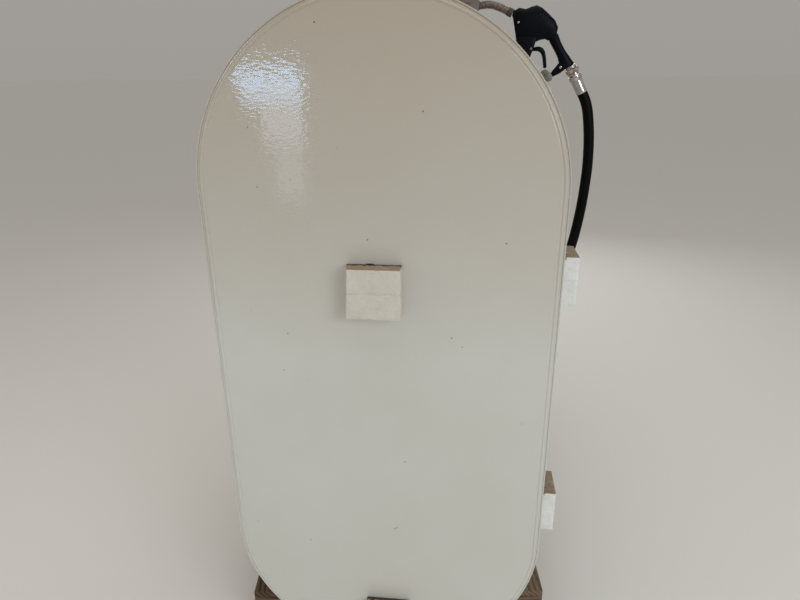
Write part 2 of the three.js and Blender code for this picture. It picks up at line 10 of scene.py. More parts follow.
import logging
import math
from collections.abc import Callable, Iterable, Sequence
from dataclasses import dataclass
from enum import Enum
from functools import cache, partial

import bmesh
import bpy
from bmesh.types import BMEdge, BMesh, BMFace, BMVert
from mathutils import Matrix, Vector, noise

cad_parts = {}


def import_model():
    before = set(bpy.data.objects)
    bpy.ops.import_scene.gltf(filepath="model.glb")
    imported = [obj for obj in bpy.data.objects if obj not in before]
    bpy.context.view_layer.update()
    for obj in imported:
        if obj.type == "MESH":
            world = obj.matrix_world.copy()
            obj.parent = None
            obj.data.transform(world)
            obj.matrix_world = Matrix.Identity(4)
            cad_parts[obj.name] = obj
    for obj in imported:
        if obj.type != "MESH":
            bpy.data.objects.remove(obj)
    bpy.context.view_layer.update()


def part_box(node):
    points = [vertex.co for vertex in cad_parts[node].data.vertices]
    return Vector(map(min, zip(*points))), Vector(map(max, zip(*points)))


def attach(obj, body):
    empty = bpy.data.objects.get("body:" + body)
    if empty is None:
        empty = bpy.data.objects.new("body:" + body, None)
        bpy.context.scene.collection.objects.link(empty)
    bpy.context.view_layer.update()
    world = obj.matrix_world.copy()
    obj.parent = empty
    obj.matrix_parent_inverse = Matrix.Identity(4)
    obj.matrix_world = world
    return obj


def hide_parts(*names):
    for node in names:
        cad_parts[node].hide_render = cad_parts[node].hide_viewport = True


LOG = logging.getLogger("tank")
MM = 0.001
FIT_GAP = 0.3  # between neighbouring solids, in millimetres
PALLET_TURN = 6.2  # degrees, how far the pallet stands askew under the tank
MOULD_SIDES = 24  # sides of a moulded form's sections
MIX_A, MIX_B = 6, 7  # the Mix node's two colours, which share their names with its other inputs

Point2 = tuple[float, float]
Point3 = tuple[float, float, float]
Sockets = dict[str | int, object]
AddNode = Callable[..., bpy.types.Node]


class Body(Enum):
    """The bodies that pieces ride on."""

    TANK = "tank"
    LEVER = "lever"


class Side(Enum):
    """The way a piece looks, as a turn about Z in degrees from looking at -Y."""

    FRONT = 0.0
    RIGHT = 90.0
    REAR = 180.0


# Shader helpers


def linear(colour: str) -> tuple[float, float, float, float]:
    """Turns an sRGB hex colour into the linear colour of a shader socket.

    Args:
        colour: the colour as "#RRGGBB".

    Returns:
        Linear red, green, blue and an alpha of one.
    """
    parts = [int(colour[i : i + 2], 16) / 255 for i in (1, 3, 5)]
    red, green, blue = (c / 12.92 if c <= 0.04045 else ((c + 0.055) / 1.055) ** 2.4 for c in parts)
    return red, green, blue, 1.0


def add_node(
    tree: bpy.types.NodeTree, kind: str, sockets: Sockets | None = None, **settings: object
) -> bpy.types.Node:
    """Adds a node to a material or world.

    Args:
        tree: the node tree.
        kind: Blender's type of node after "ShaderNode", such as "Bump".
        sockets: an input's name or number to its value, a colour as "#RRGGBB", the output that
            feeds it, or the node whose first open output does.
        **settings: the node's own properties, such as data_type="RGBA".

    Returns:
        The new node.
    """
    node = tree.nodes.new(f"ShaderNode{kind}")
    for name, value in settings.items():
        setattr(node, name, value)
    for name, value in (sockets or {}).items():
        if isinstance(value, bpy.types.Node):
            value = next(output for output in value.outputs if output.enabled)
        if isinstance(value, bpy.types.NodeSocket):
            tree.links.new(value, node.inputs[name])
        else:
            node.inputs[name].default_value = linear(value) if isinstance(value, str) else value
    return node


# Finishes


@dataclass(frozen=True)
class Finish:
    """A surface as the real one is made.

    Attributes:
        name: what the material and its making are called.
        slot: the material slot that it belongs to.
    """

    name: str
    slot: str

    def material(self) -> bpy.types.Material:
        """Builds the material: one shader, fed by the finish's pattern.

        Returns:
            The material.
        """
        made = bpy.data.materials.new(self.name)
        made.use_nodes = True
        tree = made.node_tree
        tree.nodes.clear()
        add = partial(add_node, tree)
        add("OutputMaterial", {"Surface": add("BsdfPrincipled", self.pattern(add))})
        return made

    def pattern(self, add: AddNode) -> Sockets:
        """Draws what feeds the shader.

        Args:
            add: adds a node to the material.

        Returns:
            The shader's sockets, each with its value or the node that feeds it.
        """
        raise NotImplementedError


@dataclass(frozen=True)
class SprayedEnamel(Finish):
    """Enamel sprayed on rolled steel: off-white and glossy, with orange peel and slow sheet waves."""

    name: str = "sprayed_enamel_on_steel"
    slot: str = "enamel"
    colour: str = "#D7D9D2"
    grime: str = "#B3A583"
    grime_band: Point2 = (0.35, 0.75)  # the part of the drift that carries grime
    grime_most: float = 0.14
    drift_pitch: float = 0.32  # slow change of tone, in metres
    speck: str = "#4B443A"
    speck_pitch: float = 0.052  # gives about two dozen specks on a square metre
    speck_radius: float = 0.0021
    speck_most: float = 0.75
    smudge_pitch: float = 0.16
    smudge_radius: float = 0.007
    smudge_most: float = 0.14
    top_dust_and_shade: str = "#A8957C"  # soot and dust that thicken towards the top, with painted shade that darkens and warms the top
    top_dust_and_shade_low: float = 1.0  # where the dust and painted shade start, in metres above the ground
    top_dust_and_shade_high: float = 1.72  # where it is thickest
    top_dust_and_shade_most: float = 0.69
    roughness: Point2 = (0.03, 0.08)
    peel_pitch: float = 0.007  # real orange peel is 3 mm, drawn coarser so that it shows
    peel_height: float = 0.00014
    peel_draw: Point3 = (0.6, 0.6, 1.6)  # the peel's bumps lie wider than high
    wave_pitch: float = 0.30
    wave_height: float = 0.0011

    def pattern(self, add: AddNode) -> Sockets:
        """Tones the enamel, darkens its top with dust and painted shade, dots it with specks and bends
        its gloss.

        Args:
            add: adds a node to the material.

        Returns:
            The shader's sockets, each with its value or the node that feeds it.
        """
        place = add("TexCoord").outputs["Object"]
        drift = add(
            "TexNoise", {"Vector": place, "Scale": 1 / self.drift_pitch, "Detail": 6.0, "Roughness": 0.6}
        )
        start, stop = self.grime_band
        grime = add(
            "MapRange", {"Value": drift, "From Min": start, "From Max": stop, "To Max": self.grime_most}
        )
        # Dust and painted shade: the enamel turns darker and warmer towards the top.
        top_dust_and_shade = add(
            "MapRange",
            {
                "Value": add("SeparateXYZ", {"Vector": place}).outputs["Z"],
                "From Min": self.top_dust_and_shade_low,
                "From Max": self.top_dust_and_shade_high,
                "To Max": self.top_dust_and_shade_most,
            },
        )
        smudge = self.dots(add, place, self.smudge_pitch, self.smudge_radius, self.smudge_most)
        speck = self.dots(add, place, self.speck_pitch, self.speck_radius, self.speck_most)
        layers = ((grime, self.grime), (top_dust_and_shade, self.top_dust_and_shade), (smudge, self.grime), (speck, self.speck))
        tone: object = self.colour
        for mask, colour in layers:
            tone = add("Mix", {0: mask, MIX_A: tone, MIX_B: colour}, data_type="RGBA")
        smooth, dull = self.roughness
        gloss = add("MapRange", {"Value": drift, "To Min": smooth, "To Max": dull})
        wave = add("TexNoise", {"Vector": place, "Scale": 1 / self.wave_pitch, "Detail": 1.0})
        sheet = add("Bump", {"Height": wave, "Distance": self.wave_height})
        drawn = add("Mapping", {"Vector": place, "Scale": self.peel_draw})
        peel = add("TexNoise", {"Vector": drawn, "Scale": 1 / self.peel_pitch, "Detail": 1.0})
        skin = add("Bump", {"Height": peel, "Distance": self.peel_height, "Normal": sheet})
        return {"Base Color": tone, "Roughness": gloss, "Normal": skin, "IOR": 1.5}

    @staticmethod
    def dots(
        add: AddNode, place: bpy.types.NodeSocket, pitch: float, radius: float, most: float
    ) -> bpy.types.Node:
        """Scatters soft dots, where the surface passes near a cell's middle.

        Args:
            add: adds a node to the material.
            place: the coordinates.
            pitch: the cells' size in metres.
            radius: the largest dot's radius in metres.
            most: the mask's value in a dot's middle.

        Returns:
            The node that gives the mask.
        """
        cells = add("TexVoronoi", {"Vector": place, "Scale": 1 / pitch})
        near = radius / pitch
        return add(
            "MapRange",
            {"Value": cells, "From Min": near / 2, "From Max": near, "To Min": most, "To Max": 0.0},
        )


@dataclass(frozen=True)
class GrainedSurface(Finish):
    """A surface of one material whose tone, gloss and skin all follow fine grain.

    Attributes:
        colour: its clean colour.
        worn: the colour that it turns to where it is handled, dusty or stained.
        metallic: one for bare metal.
        roughness: its lowest and highest roughness.
        grain: the grain's size in metres.
        relief: the grain's height in metres.
        patch: the size of worn patches in metres.
        wear: how much of the worn colour shows in a patch.
        specular: how strongly a surface that isn't metal mirrors, 0.5 at its plain value.
    """

    colour: str = "#808080"
    worn: str = "#606060"
    metallic: float = 0.0
    roughness: Point2 = (0.3, 0.5)
    grain: float = 0.001
    relief: float = 0.00003
    patch: float = 0.03
    wear: float = 0.5
    specular: float = 0.5

    def pattern(self, add: AddNode) -> Sockets:
        """Sets tone, gloss and relief from one coarse and one fine pattern.

        Args:
            add: adds a node to the material.

        Returns:
            The shader's sockets, each with its value or the node that feeds it.
        """
        place = add("TexCoord").outputs["Object"]
        patches = add(
            "TexNoise", {"Vector": place, "Scale": 1 / self.patch, "Detail": 5.0, "Roughness": 0.65}
        )
        worn = add("MapRange", {"Value": patches, "From Min": 0.4, "From Max": 0.72, "To Max": self.wear})
        colours = {0: worn, MIX_A: self.colour, MIX_B: self.worn}
        smooth, dull = self.roughness
        gloss = add(
            "MapRange",
            {"Value": patches, "From Min": 0.3, "From Max": 0.7, "To Min": smooth, "To Max": dull},
        )
        fine = add("TexNoise", {"Vector": place, "Scale": 1 / self.grain, "Detail": 3.0})
        return {
            "Base Color": add("Mix", colours, data_type="RGBA"),
            "Roughness": gloss,
            "Normal": add("Bump", {"Height": fine, "Distance": self.relief}),
            "Metallic": self.metallic,
            "Specular IOR Level": self.specular,
        }


@dataclass(frozen=True)
class SpangledZinc(Finish):
    """Hot-dip galvanised steel: dull grey, with the angular patches of zinc crystals."""

    name: str = "galvanised_steel"
    slot: str = "galvanised"
    colour: str = "#9CA1A3"
    dark: str = "#7B8082"
    spangle: float = 0.009
    roughness: Point2 = (0.38, 0.55)
    metallic: float = 0.85

    def pattern(self, add: AddNode) -> Sockets:
        """Gives each zinc crystal its own tone and gloss.

        Args:
            add: adds a node to the material.

        Returns:
            The shader's sockets, each with its value or the node that feeds it.
        """
        place = add("TexCoord").outputs["Object"]
        crystals = add("TexVoronoi", {"Vector": place, "Scale": 1 / self.spangle})
        pick = add("SeparateColor", {"Color": crystals.outputs["Color"]})
        colours = {0: pick.outputs["Red"], MIX_A: self.colour, MIX_B: self.dark}
        smooth, dull = self.roughness
        gloss = {"Value": pick.outputs["Green"], "To Min": smooth, "To Max": dull}
        return {
            "Base Color": add("Mix", colours, data_type="RGBA"),
            "Roughness": add("MapRange", gloss),
            "Metallic": self.metallic,
        }


@dataclass(frozen=True)
class ExpandedFoam(Finish):
    """Expanded foam: closed pale cells, black glue that squeezed out, painted shade where its top meets
    the wall, and brown dust on top.

    Attributes:
        colour: the cells' own colour.
        shade: the colour of its duller patches.
        dust: what lies on its top.
        glue: the dark colour of squeezed-out glue and of painted shade at the wall, shown as far as the
            vertex attribute of that name says.
        cell: the size of its beads in metres.
        relief: how far the beads stand out, in metres.
        blotch: the size of its duller patches in metres.
    """

    name: str = "expanded_foam"
    slot: str = "foam"
    colour: str = "#DCDACD"
    shade: str = "#D0CDBF"
    dust: str = "#A08E76"
    glue: str = "#0F0C0A"
    cell: float = 0.0042
    relief: float = 0.0006
    blotch: float = 0.025

    def pattern(self, add: AddNode) -> Sockets:
        """Draws the cells and lays dust on what faces up.

        Args:
            add: adds a node to the material.

        Returns:
            The shader's sockets, each with its value or the node that feeds it.
        """
        place = add("TexCoord").outputs["Object"]
        cells = add("TexVoronoi", {"Vector": place, "Scale": 1 / self.cell})
        blotch = add(
            "TexNoise", {"Vector": place, "Scale": 1 / self.blotch, "Detail": 5.0, "Roughness": 0.65}
        )
        dull = add("MapRange", {"Value": blotch, "From Min": 0.35, "From Max": 0.75})
        facing = add("NewGeometry").outputs["Normal"]
        rise = add("SeparateXYZ", {"Vector": facing}).outputs["Z"]
        upward = add("MapRange", {"Value": rise, "From Min": 0.35, "From Max": 0.8})
        patchy = add("MapRange", {"Value": blotch, "From Min": 0.3, "From Max": 0.5, "To Min": 0.78})
        laid = add("Math", {0: upward, 1: patchy}, operation="MULTIPLY")
        # The dark line along the top edge at the wall is painted shade, and the blob is glue.
        glue_and_shade_mask = add("Attribute", attribute_name="glue").outputs["Fac"]
        tone: object = self.colour
        for mask, colour in ((dull, self.shade), (laid, self.dust), (glue_and_shade_mask, self.glue)):
            tone = add("Mix", {0: mask, MIX_A: tone, MIX_B: colour}, data_type="RGBA")
        skin = add("Bump", {"Height": cells, "Distance": self.relief})
        return {"Base Color": tone, "Roughness": 0.8, "Normal": skin}


@dataclass(frozen=True)
class RoughSawnPine(Finish):
    """Rough-sawn softwood gone brown in the yard: long grain lines, knots, patches of grey dust.

    The vertex attribute "board" says in X and Y how far a board's pattern is shifted, in metres, and in Z
    how dark the board is, from 0 to 1, from damp and from painted shade.

    Attributes:
        grain_turn: the angle of the grain's direction to +Y about Z, in degrees.
    """

    name: str = "rough_sawn_pine"
    slot: str = "pine"
    grain_turn: float = 0.0
    early: str = "#8A6E50"
    late: str = "#4A3424"
    weathered: str = "#85796A"
    # The colour of damp wood, also laid on as painted shade on the left deck boards.
    damp_and_shade: str = "#2C1D12"
    knot: str = "#2A1A10"
    ring_pitch: float = 0.009  # growth rings on a flat-sawn face
    ring_height: float = 0.0006
    knot_pitch: float = 0.13
    knot_band: Point2 = (0.06, 0.13)  # where a knot fades out, as a part of its cell
    fuzz_height: float = 0.0009
    stretch: float = 0.07  # the grain's width over its length

    def pattern(self, add: AddNode) -> Sockets:
        """Draws the grain along each board, shifted by the board's own number.

        Args:
            add: adds a node to the material.

        Returns:
            The shader's sockets, each with its value or the node that feeds it.
        """
        board = add("Attribute", attribute_name="board").outputs["Vector"]
        place = add("TexCoord").outputs["Object"]
        moved = add("VectorMath", {0: place, 1: board}, operation="ADD")
        turn = (0, 0, -math.radians(self.grain_turn))
        along = add("Mapping", {"Vector": moved, "Rotation": turn})
        drawn = add("Mapping", {"Vector": along, "Scale": (1, self.stretch, 1)})
        rings = add(
            "TexWave",
            {
                "Vector": drawn,
                "Scale": 0.35 / self.ring_pitch,
                "Distortion": 5.0,
                "Detail": 3.0,
                "Detail Scale": 0.7,
            },
            bands_direction="DIAGONAL",
        ).outputs["Fac"]
        fibre = add("TexNoise", {"Vector": drawn, "Scale": 420.0, "Detail": 4.0, "Roughness": 0.7})
        dirt = add("TexNoise", {"Vector": along, "Scale": 9.0, "Detail": 6.0, "Roughness": 0.7})
        grey = add("MapRange", {"Value": dirt, "From Min": 0.42, "From Max": 0.7, "To Max": 0.75})
        # Damp and painted shade darken the board.
        damp_and_shade_mask = add("SeparateXYZ", {"Vector": board}).outputs["Z"]
        oval = add("Mapping", {"Vector": along, "Scale": (1, 0.6, 1)})
        cells = add("TexVoronoi", {"Vector": oval, "Scale": 1 / self.knot_pitch})
        core, edge = self.knot_band
        knots = add(
            "MapRange", {"Value": cells, "From Min": core, "From Max": edge, "To Min": 0.9, "To Max": 0.0}
        )
        layers = ((rings, self.late), (grey, self.weathered), (damp_and_shade_mask, self.damp_and_shade), (knots, self.knot))
        tone: object = self.early
        for mask, colour in layers:
            tone = add("Mix", {0: mask, MIX_A: tone, MIX_B: colour}, data_type="RGBA")
        fuzz = add("Bump", {"Height": fibre, "Distance": self.fuzz_height})
        ridges = add("Bump", {"Height": rings, "Distance": self.ring_height, "Normal": fuzz})
        return {"Base Color": tone, "Roughness": 0.86, "Normal": ridges}


# Off-white enamel mirrors a light almost sharply, and its peel breaks the mirrored edge.
ENAMEL = SprayedEnamel()
# Zinc shows as dull grey patches with sharp corners.
ZINC = SpangledZinc()
# Lit and shaded copies of one foam: the side pads are painted whiter for the stronger light on the tank's
# right side, and the end pads duller and yellower.
SHADED_END_FOAM = ExpandedFoam("expanded_foam_end_shaded")
LIT_SIDE_FOAM = ExpandedFoam(
    "expanded_foam_side_lit", colour="#F7FAF9", shade="#E6E9E6", dust="#8F7F6B", glue="#4A4036"
)
# Saw marks and soft early wood give lengthwise ridges, brown below the grey dust.
PINE_ALONG = RoughSawnPine("pine_sawn_along", grain_turn=PALLET_TURN)
PINE_ACROSS = RoughSawnPine("pine_sawn_across", grain_turn=PALLET_TURN + 90)
# Stoved paint on sheet is a satin grey-brown with a faint grain.
HOUSING_PAINT = GrainedSurface(
    "stoved_housing_paint", "housing_paint", colour="#776F6B", worn="#5F5650",
    roughness=(0.38, 0.55), grain=0.0022, relief=0.00006, patch=0.08,
)
# Chrome plate that fuel and fingers have dulled gives soft-edged bright stripes.
CHROME = GrainedSurface(
    "chrome_plated_brass", "chrome", colour="#C9CACC", worn="#9A948A", metallic=1.0,
    roughness=(0.16, 0.28), grain=0.003, relief=0.00001, patch=0.02,
)
# Where its plate has worn, the swivel's brass shows through in pinkish brown.
WORN_PLATE = GrainedSurface(
    "worn_plate_over_brass", "chrome", colour="#D8D3CD", worn="#6E564A", metallic=1.0,
    roughness=(0.14, 0.3), grain=0.002, patch=0.009, wear=0.95,
)
# Plated steel that fuel has stained turns a mottled mauve-brown.
SPOUT_STEEL = GrainedSurface(
    "fuel_stained_steel", "spout_steel", colour="#9A8C83", worn="#5C483F", metallic=0.7,
    roughness=(0.32, 0.52), grain=0.0022, relief=0.00009, patch=0.007, wear=0.9,
)
# A zinc casting is a dull greenish grey with a fine sandy skin.
ZINC_CASTING = GrainedSurface(
    "zinc_die_casting", "zinc_casting", colour="#767A71", worn="#57544A", metallic=0.55,
    roughness=(0.40, 0.58), grain=0.0012, relief=0.00006, patch=0.01,
)
# The same casting near the fuel is sooted to a dark olive grey.
SOOTED_COLLAR = GrainedSurface(
    "sooted_zinc_collar", "zinc_casting", colour="#4E4F45", worn="#2C2B25", metallic=0.4,
    roughness=(0.42, 0.6), grain=0.0012, relief=0.00008, patch=0.008, wear=0.9,
)
# Moulded nitrile is blue-black and satin, and mirrors little.
MOULDED_COVER = GrainedSurface(
    "moulded_nitrile_cover", "black_plastic", colour="#04070F", worn="#0A0E17",
    roughness=(0.32, 0.44), grain=0.0012, relief=0.00008, specular=0.10,
)
# Extruded rubber is near black, with a faint grey bloom.
HOSE_RUBBER = GrainedSurface(
    "extruded_hose_rubber", "hose_rubber", colour="#050606", worn="#0C0D0E", roughness=(0.32, 0.44),
    grain=0.0025, relief=0.00010, patch=0.05, specular=0.08,
)
# Cork and rubber is matt and dark.
GASKET = GrainedSurface(
    "cork_rubber_gasket", "hose_rubber", colour="#1B1A19", worn="#2C2A28", roughness=(0.7, 0.85),
)
# The dial's card, ink and pointer are plain print and paint.
DIAL_WHITE = GrainedSurface(
    "printed_dial_card", "enamel", colour="#E6E4DA", worn="#D2CFC2", roughness=(0.4, 0.5),
)
DIAL_BLACK = GrainedSurface(
    "dial_ink", "black_plastic", colour="#17181A", worn="#17181A", roughness=(0.4, 0.5),
)
POINTER_RED = GrainedSurface(
    "pointer_paint", "enamel", colour="#A8261C", worn="#8E2018", roughness=(0.35, 0.45),
)


@cache
def painted(finish: Finish) -> bpy.types.Material:
    """Gives a finish's material, which is built once."""
    return finish.material()


# Shapes in bmesh


def edges_of(verts: Iterable[BMVert]) -> list[BMEdge]:
    """Lists the edges at some vertices, each once and in the same order every run."""
    return list(dict.fromkeys(edge for vert in verts for edge in vert.link_edges))


def eased(points: Sequence[Point2], radius: float, closed: bool = False, steps: int = 3) -> list[Point2]:
    """Rounds the corners of a line of points.

    Args:
        points: the corners.
        radius: how far from a corner its round starts, at most a third of the shorter side.
        closed: whether the last point joins the first.
        steps: the points on each round, less one.

    Returns:
        The points with each corner drawn as a short curve.
    """
    line = [Vector(p) for p in points]
    made: list[Point2] = []
    for i, corner in enumerate(line):
        if not closed and i in (0, len(line) - 1):
            made.append((corner.x, corner.y))
            continue
        before, after = line[i - 1], line[(i + 1) % len(line)]
        reach = min(radius, (before - corner).length / 3, (after - corner).length / 3)
        start = corner + (before - corner).normalized() * reach
        end = corner + (after - corner).normalized() * reach
        for step in range(steps + 1):
            t = step / steps
            point = start.lerp(corner, t).lerp(corner.lerp(end, t), t)
            made.append((point.x, point.y))
    return made


def flowing(points: Sequence[Vector], spacing: float) -> list[Vector]:
    """Draws one smooth line through points, as a centripetal spline does.

    Args:
        points: the points to pass through.
        spacing: the distance from one made point to the next.

    Returns:
        Points along the line.
    """
    ends = [points[0] * 2 - points[1], *points, points[-1] * 2 - points[-2]]
    made = []
    for p0, p1, p2, p3 in zip(ends, ends[1:], ends[2:], ends[3:]):
        t0 = 0.0
        t1 = t0 + math.sqrt((p1 - p0).length)
        t2 = t1 + math.sqrt((p2 - p1).length)
        t3 = t2 + math.sqrt((p3 - p2).length)
        count = max(1, round((p2 - p1).length / spacing))
        for i in range(count):
            t = t1 + (t2 - t1) * i / count
            a1 = p0.lerp(p1, (t - t0) / (t1 - t0))
            a2 = p1.lerp(p2, (t - t1) / (t2 - t1))
            a3 = p2.lerp(p3, (t - t2) / (t3 - t2))
            b1 = a1.lerp(a2, (t - t0) / (t2 - t0))
            b2 = a2.lerp(a3, (t - t1) / (t3 - t1))
            made.append(b1.lerp(b2, (t - t1) / (t2 - t1)))
    return [*made, points[-1].copy()]


def aimed(place: Vector, axis: Vector) -> Matrix:
    """Gives the matrix that puts the origin at a place and turns +Z to an axis."""
    return Matrix.Translation(place) @ axis.to_track_quat("Z", "Y").to_matrix().to_4x4()


def turned(
    bm: BMesh, profile: Sequence[Point2], matrix: Matrix, steps: int = 48
) -> list[BMVert]:
    """Spins a profile about the +Z axis, as a lathe would.

    Args:
        bm: the mesh to add to.
        profile: (radius, height) points, from the axis back to the axis, or a closed line off it.
        matrix: where the turned form goes.
        steps: the steps of a full turn.

    Returns:
        The new vertices.
    """
    before = set(bm.verts)
    line = [bm.verts.new((radius, 0, height)) for radius, height in profile]
    edges = [bm.edges.new(pair) for pair in zip(line, line[1:])]
    if profile[0][0] > 0:
        edges.append(bm.edges.new((line[-1], line[0])))
    bmesh.ops.spin(bm, geom=[*line, *edges], axis=(0, 0, 1), angle=math.tau, steps=steps, use_merge=True)
    new = [v for v in bm.verts if v not in before]
    bmesh.ops.remove_doubles(bm, verts=new, dist=1e-3)
    new = [v for v in bm.verts if v not in before]
    bmesh.ops.transform(bm, matrix=matrix, verts=new)
    return new


def swept(
    bm: BMesh,
    path: Sequence[Vector],
    radii: float | Sequence[float],
    sides: int = 16,
    closed: bool = False,
) -> None:
    """Runs a round section along a path.

    Args:
        bm: the mesh to add to.
        path: the points of its middle line.
        radii: one radius, or one for each point.
        sides: the sides of the section.
        closed: whether the path joins its own start. An open one is capped.
    """
    count = len(path)
    widths = [radii] * count if isinstance(radii, (int, float)) else list(radii)
    ahead = (path[1] - path[0]).normalized()
    turn = ahead.to_track_quat("Z", "Y")
    first: list[BMEdge] = []
    edges: list[BMEdge] = []
    for i, point in enumerate(path):
        before = path[i - 1] if i or closed else point
        after = path[(i + 1) % count] if i + 1 < count or closed else point
        along = (after - before).normalized()
        turn = ahead.rotation_difference(along) @ turn
        ahead = along
        matrix = Matrix.Translation(point) @ turn.to_matrix().to_4x4()
        loop = bmesh.ops.create_circle(bm, radius=widths[i], segments=sides, matrix=matrix)["verts"]
        ring = edges_of(loop)
        if edges:
            bmesh.ops.bridge_loops(bm, edges=[*edges, *ring])
        else:
            first = ring
        edges = ring
    if closed:
        bmesh.ops.bridge_loops(bm, edges=[*edges, *first])
    else:
        for end in (first, edges):
            bmesh.ops.edgeloop_fill(bm, edges=end)


def broken(
    bm: BMesh,
    edges: Sequence[BMEdge],
    width: float,
    segments: int = 2,
    clamp_overlap: bool = False,
) -> None:
    """Breaks sharp edges.

    Args:
        bm: the mesh that holds them.
        edges: the sharp edges.
        width: how far they are cut back.
        segments: the steps across a broken edge.
        clamp_overlap: whether cuts stop where they meet.
    """
    bmesh.ops.bevel(
        bm,
        geom=edges,
        offset=width,
        segments=segments,
        profile=0.5,
        affect="EDGES",
        material=-1,
        clamp_overlap=clamp_overlap,
    )


def plate(
    bm: BMesh,
    outline: Sequence[Point2],
    low: float,
    high: float,
    bevel: float = 0.8,
    hole: Sequence[Point2] = (),
) -> list[BMVert]:
    """Cuts a plate from an outline of (x, z) points and gives it thickness along Y.

    Args:
        bm: the mesh to add to.
        outline: its corners.
        low: its lowest y.
        high: its highest y.
        bevel: how far its sharp edges are broken.
        hole: the corners of a hole through it.

    Returns:
        The new vertices.
    """
    before = set(bm.verts)
    edges = []
    for corners in filter(None, (outline, hole)):
        line = [bm.verts.new((x, low, z)) for x, z in corners]
        edges += [bm.edges.new((a, b)) for a, b in zip(line, [*line[1:], line[0]])]
    if hole:
        filled = bmesh.ops.triangle_fill(bm, use_beauty=True, edges=edges)["geom"]
        faces = [f for f in filled if isinstance(f, BMFace)]
    else:
        faces = bmesh.ops.edgeloop_fill(bm, edges=edges)["faces"]
    grown = bmesh.ops.extrude_face_region(bm, geom=faces, use_keep_orig=True)["geom"]
    lifted = [v for v in grown if isinstance(v, BMVert)]
    bmesh.ops.translate(bm, verts=lifted, vec=(0, high - low, 0))
    new = [v for v in bm.verts if v not in before]
    around = list({f for v in new for f in v.link_faces})
    bmesh.ops.recalc_face_normals(bm, faces=around)
    if bevel:
        rim = [e for e in edges_of(new) if e.calc_face_angle(0) > math.radians(30)]
        broken(bm, rim, bevel, clamp_overlap=True)
    return [v for v in bm.verts if v not in before]


def block(
    bm: BMesh,
    low: Point3,
    high: Point3,
    bevel: float = 0.8,
    segments: int = 2,
    matrix: Matrix | None = None,
) -> list[BMVert]:
    """Makes a box with broken edges.

    Args:
        bm: the mesh to add to.
        low: its lowest corner.
        high: its highest corner.
        bevel: how far its edges are broken.
        segments: the steps across a broken edge.
        matrix: where it goes, if it isn't made in its place.

    Returns:
        The new vertices.
    """
    before = set(bm.verts)
    size = Vector(high) - Vector(low)
    stretch = Matrix.Translation((Vector(high) + Vector(low)) / 2) @ Matrix.Diagonal((*size, 1))
    made = bmesh.ops.create_cube(bm, size=1, matrix=stretch)["verts"]
    if bevel:
        broken(bm, edges_of(made), bevel, segments)
    new = [v for v in bm.verts if v not in before]
    if matrix is not None:
        bmesh.ops.transform(bm, matrix=matrix, verts=new)
    return new


def hexagon(
    bm: BMesh, radius: float, low: float, high: float, matrix: Matrix, chamfer: float = 1.2
) -> None:
    """Makes a hexagon head or nut about the +Z axis, its corners turned off.

    Args:
        bm: the mesh to add to.
        radius: from its middle to a corner.
        low: its lowest height.
        high: its highest height.
        matrix: where it goes.
        chamfer: how far the corners are turned off.
    """
    rings = []
    rise = chamfer * 0.6
    for inset, height in ((chamfer, low), (0, low + rise), (0, high - rise), (chamfer, high)):
        place = matrix @ Matrix.Translation((0, 0, height))
        made = bmesh.ops.create_circle(bm, radius=radius - inset, segments=6, matrix=place)["verts"]
        rings.append(edges_of(made))
    stacked(bm, rings)
    for end in (rings[0], rings[-1]):
        bmesh.ops.edgeloop_fill(bm, edges=end)


def stacked(bm: BMesh, rings: Sequence[list[BMEdge]], closed: bool = False) -> None:
    """Skins a row of rings that have the same number of edges.

    Args:
        bm: the mesh that holds them.
        rings: the edges of each ring.
        closed: whether the last ring joins the first.
    """
    pairs = list(zip(rings, rings[1:]))
    if closed:
        pairs.append((rings[-1], rings[0]))
    for one, two in pairs:
        bmesh.ops.bridge_loops(bm, edges=[*one, *two])


def bead(bm: BMesh, path: Sequence[Vector], radius: float, closed: bool = False) -> None:
    """Lays a weld bead with the ripples of its passes.

    Args:
        bm: the mesh to add to.
        path: the points of its middle line.
        radius: its mean radius.
        closed: whether it joins its own start.
    """
    widths = [radius * (1 + 0.16 * noise.noise(point * 0.21)) for point in path]
    swept(bm, path, widths, 8, closed)


@dataclass(frozen=True)
class Rung:
    """One section of a moulded form.

    Attributes:
        upper: (x, z) of its upper edge.
        lower: (x, z) of its lower edge.
        width: its width across the nozzle.
    """

    upper: Point2
    lower: Point2
    width: float


def moulded(
    bm: BMesh, rungs: Sequence[Rung], y: float, end_round: float = 3.0, squareness: float = 3.2
) -> None:
    """Skins rungs with rounded sections and closes both ends with a soft edge.

    Args:
        bm: the mesh to add to.
        rungs: the sections in order.
        y: the plane that they lie in.
        end_round: how far the ends are rounded.
        squareness: 2 gives an ellipse, and more gives a rounder-cornered box.
    """
    middles = [(Vector(rung.upper) + Vector(rung.lower)) / 2 for rung in rungs]
    sections: list[tuple[Vector, Vector, float]] = []
    for i, (rung, middle) in enumerate(zip(rungs, middles)):
        reach = (Vector(rung.upper) - Vector(rung.lower)) / 2
        if 0 < i < len(rungs) - 1:
            sections.append((middle, reach, rung.width / 2))
            continue
        inward = (middles[1 if i == 0 else -2] - middle).normalized()
        cap = []
        for turn in (0, 30, 60, 90):
            lost = end_round * (1 - math.sin(math.radians(turn)))
            place = middle + inward * end_round * (1 - math.cos(math.radians(turn)))
            cap.append((place, reach * (1 - lost / reach.length), rung.width / 2 - lost))
        sections += cap if i == 0 else cap[::-1]
    rings = []
    for middle, reach, half in sections:
        made = bmesh.ops.create_circle(bm, radius=1, segments=MOULD_SIDES)["verts"]
        for vert in made:
            across = math.copysign(abs(vert.co.x) ** (2 / squareness), vert.co.x) * half
            up = math.copysign(abs(vert.co.y) ** (2 / squareness), vert.co.y)
            vert.co = Vector((middle.x + reach.x * up, y + across, middle.y + reach.y * up))
        rings.append(edges_of(made))
    stacked(bm, rings)
    for end in (rings[0], rings[-1]):
        bmesh.ops.edgeloop_fill(bm, edges=end)


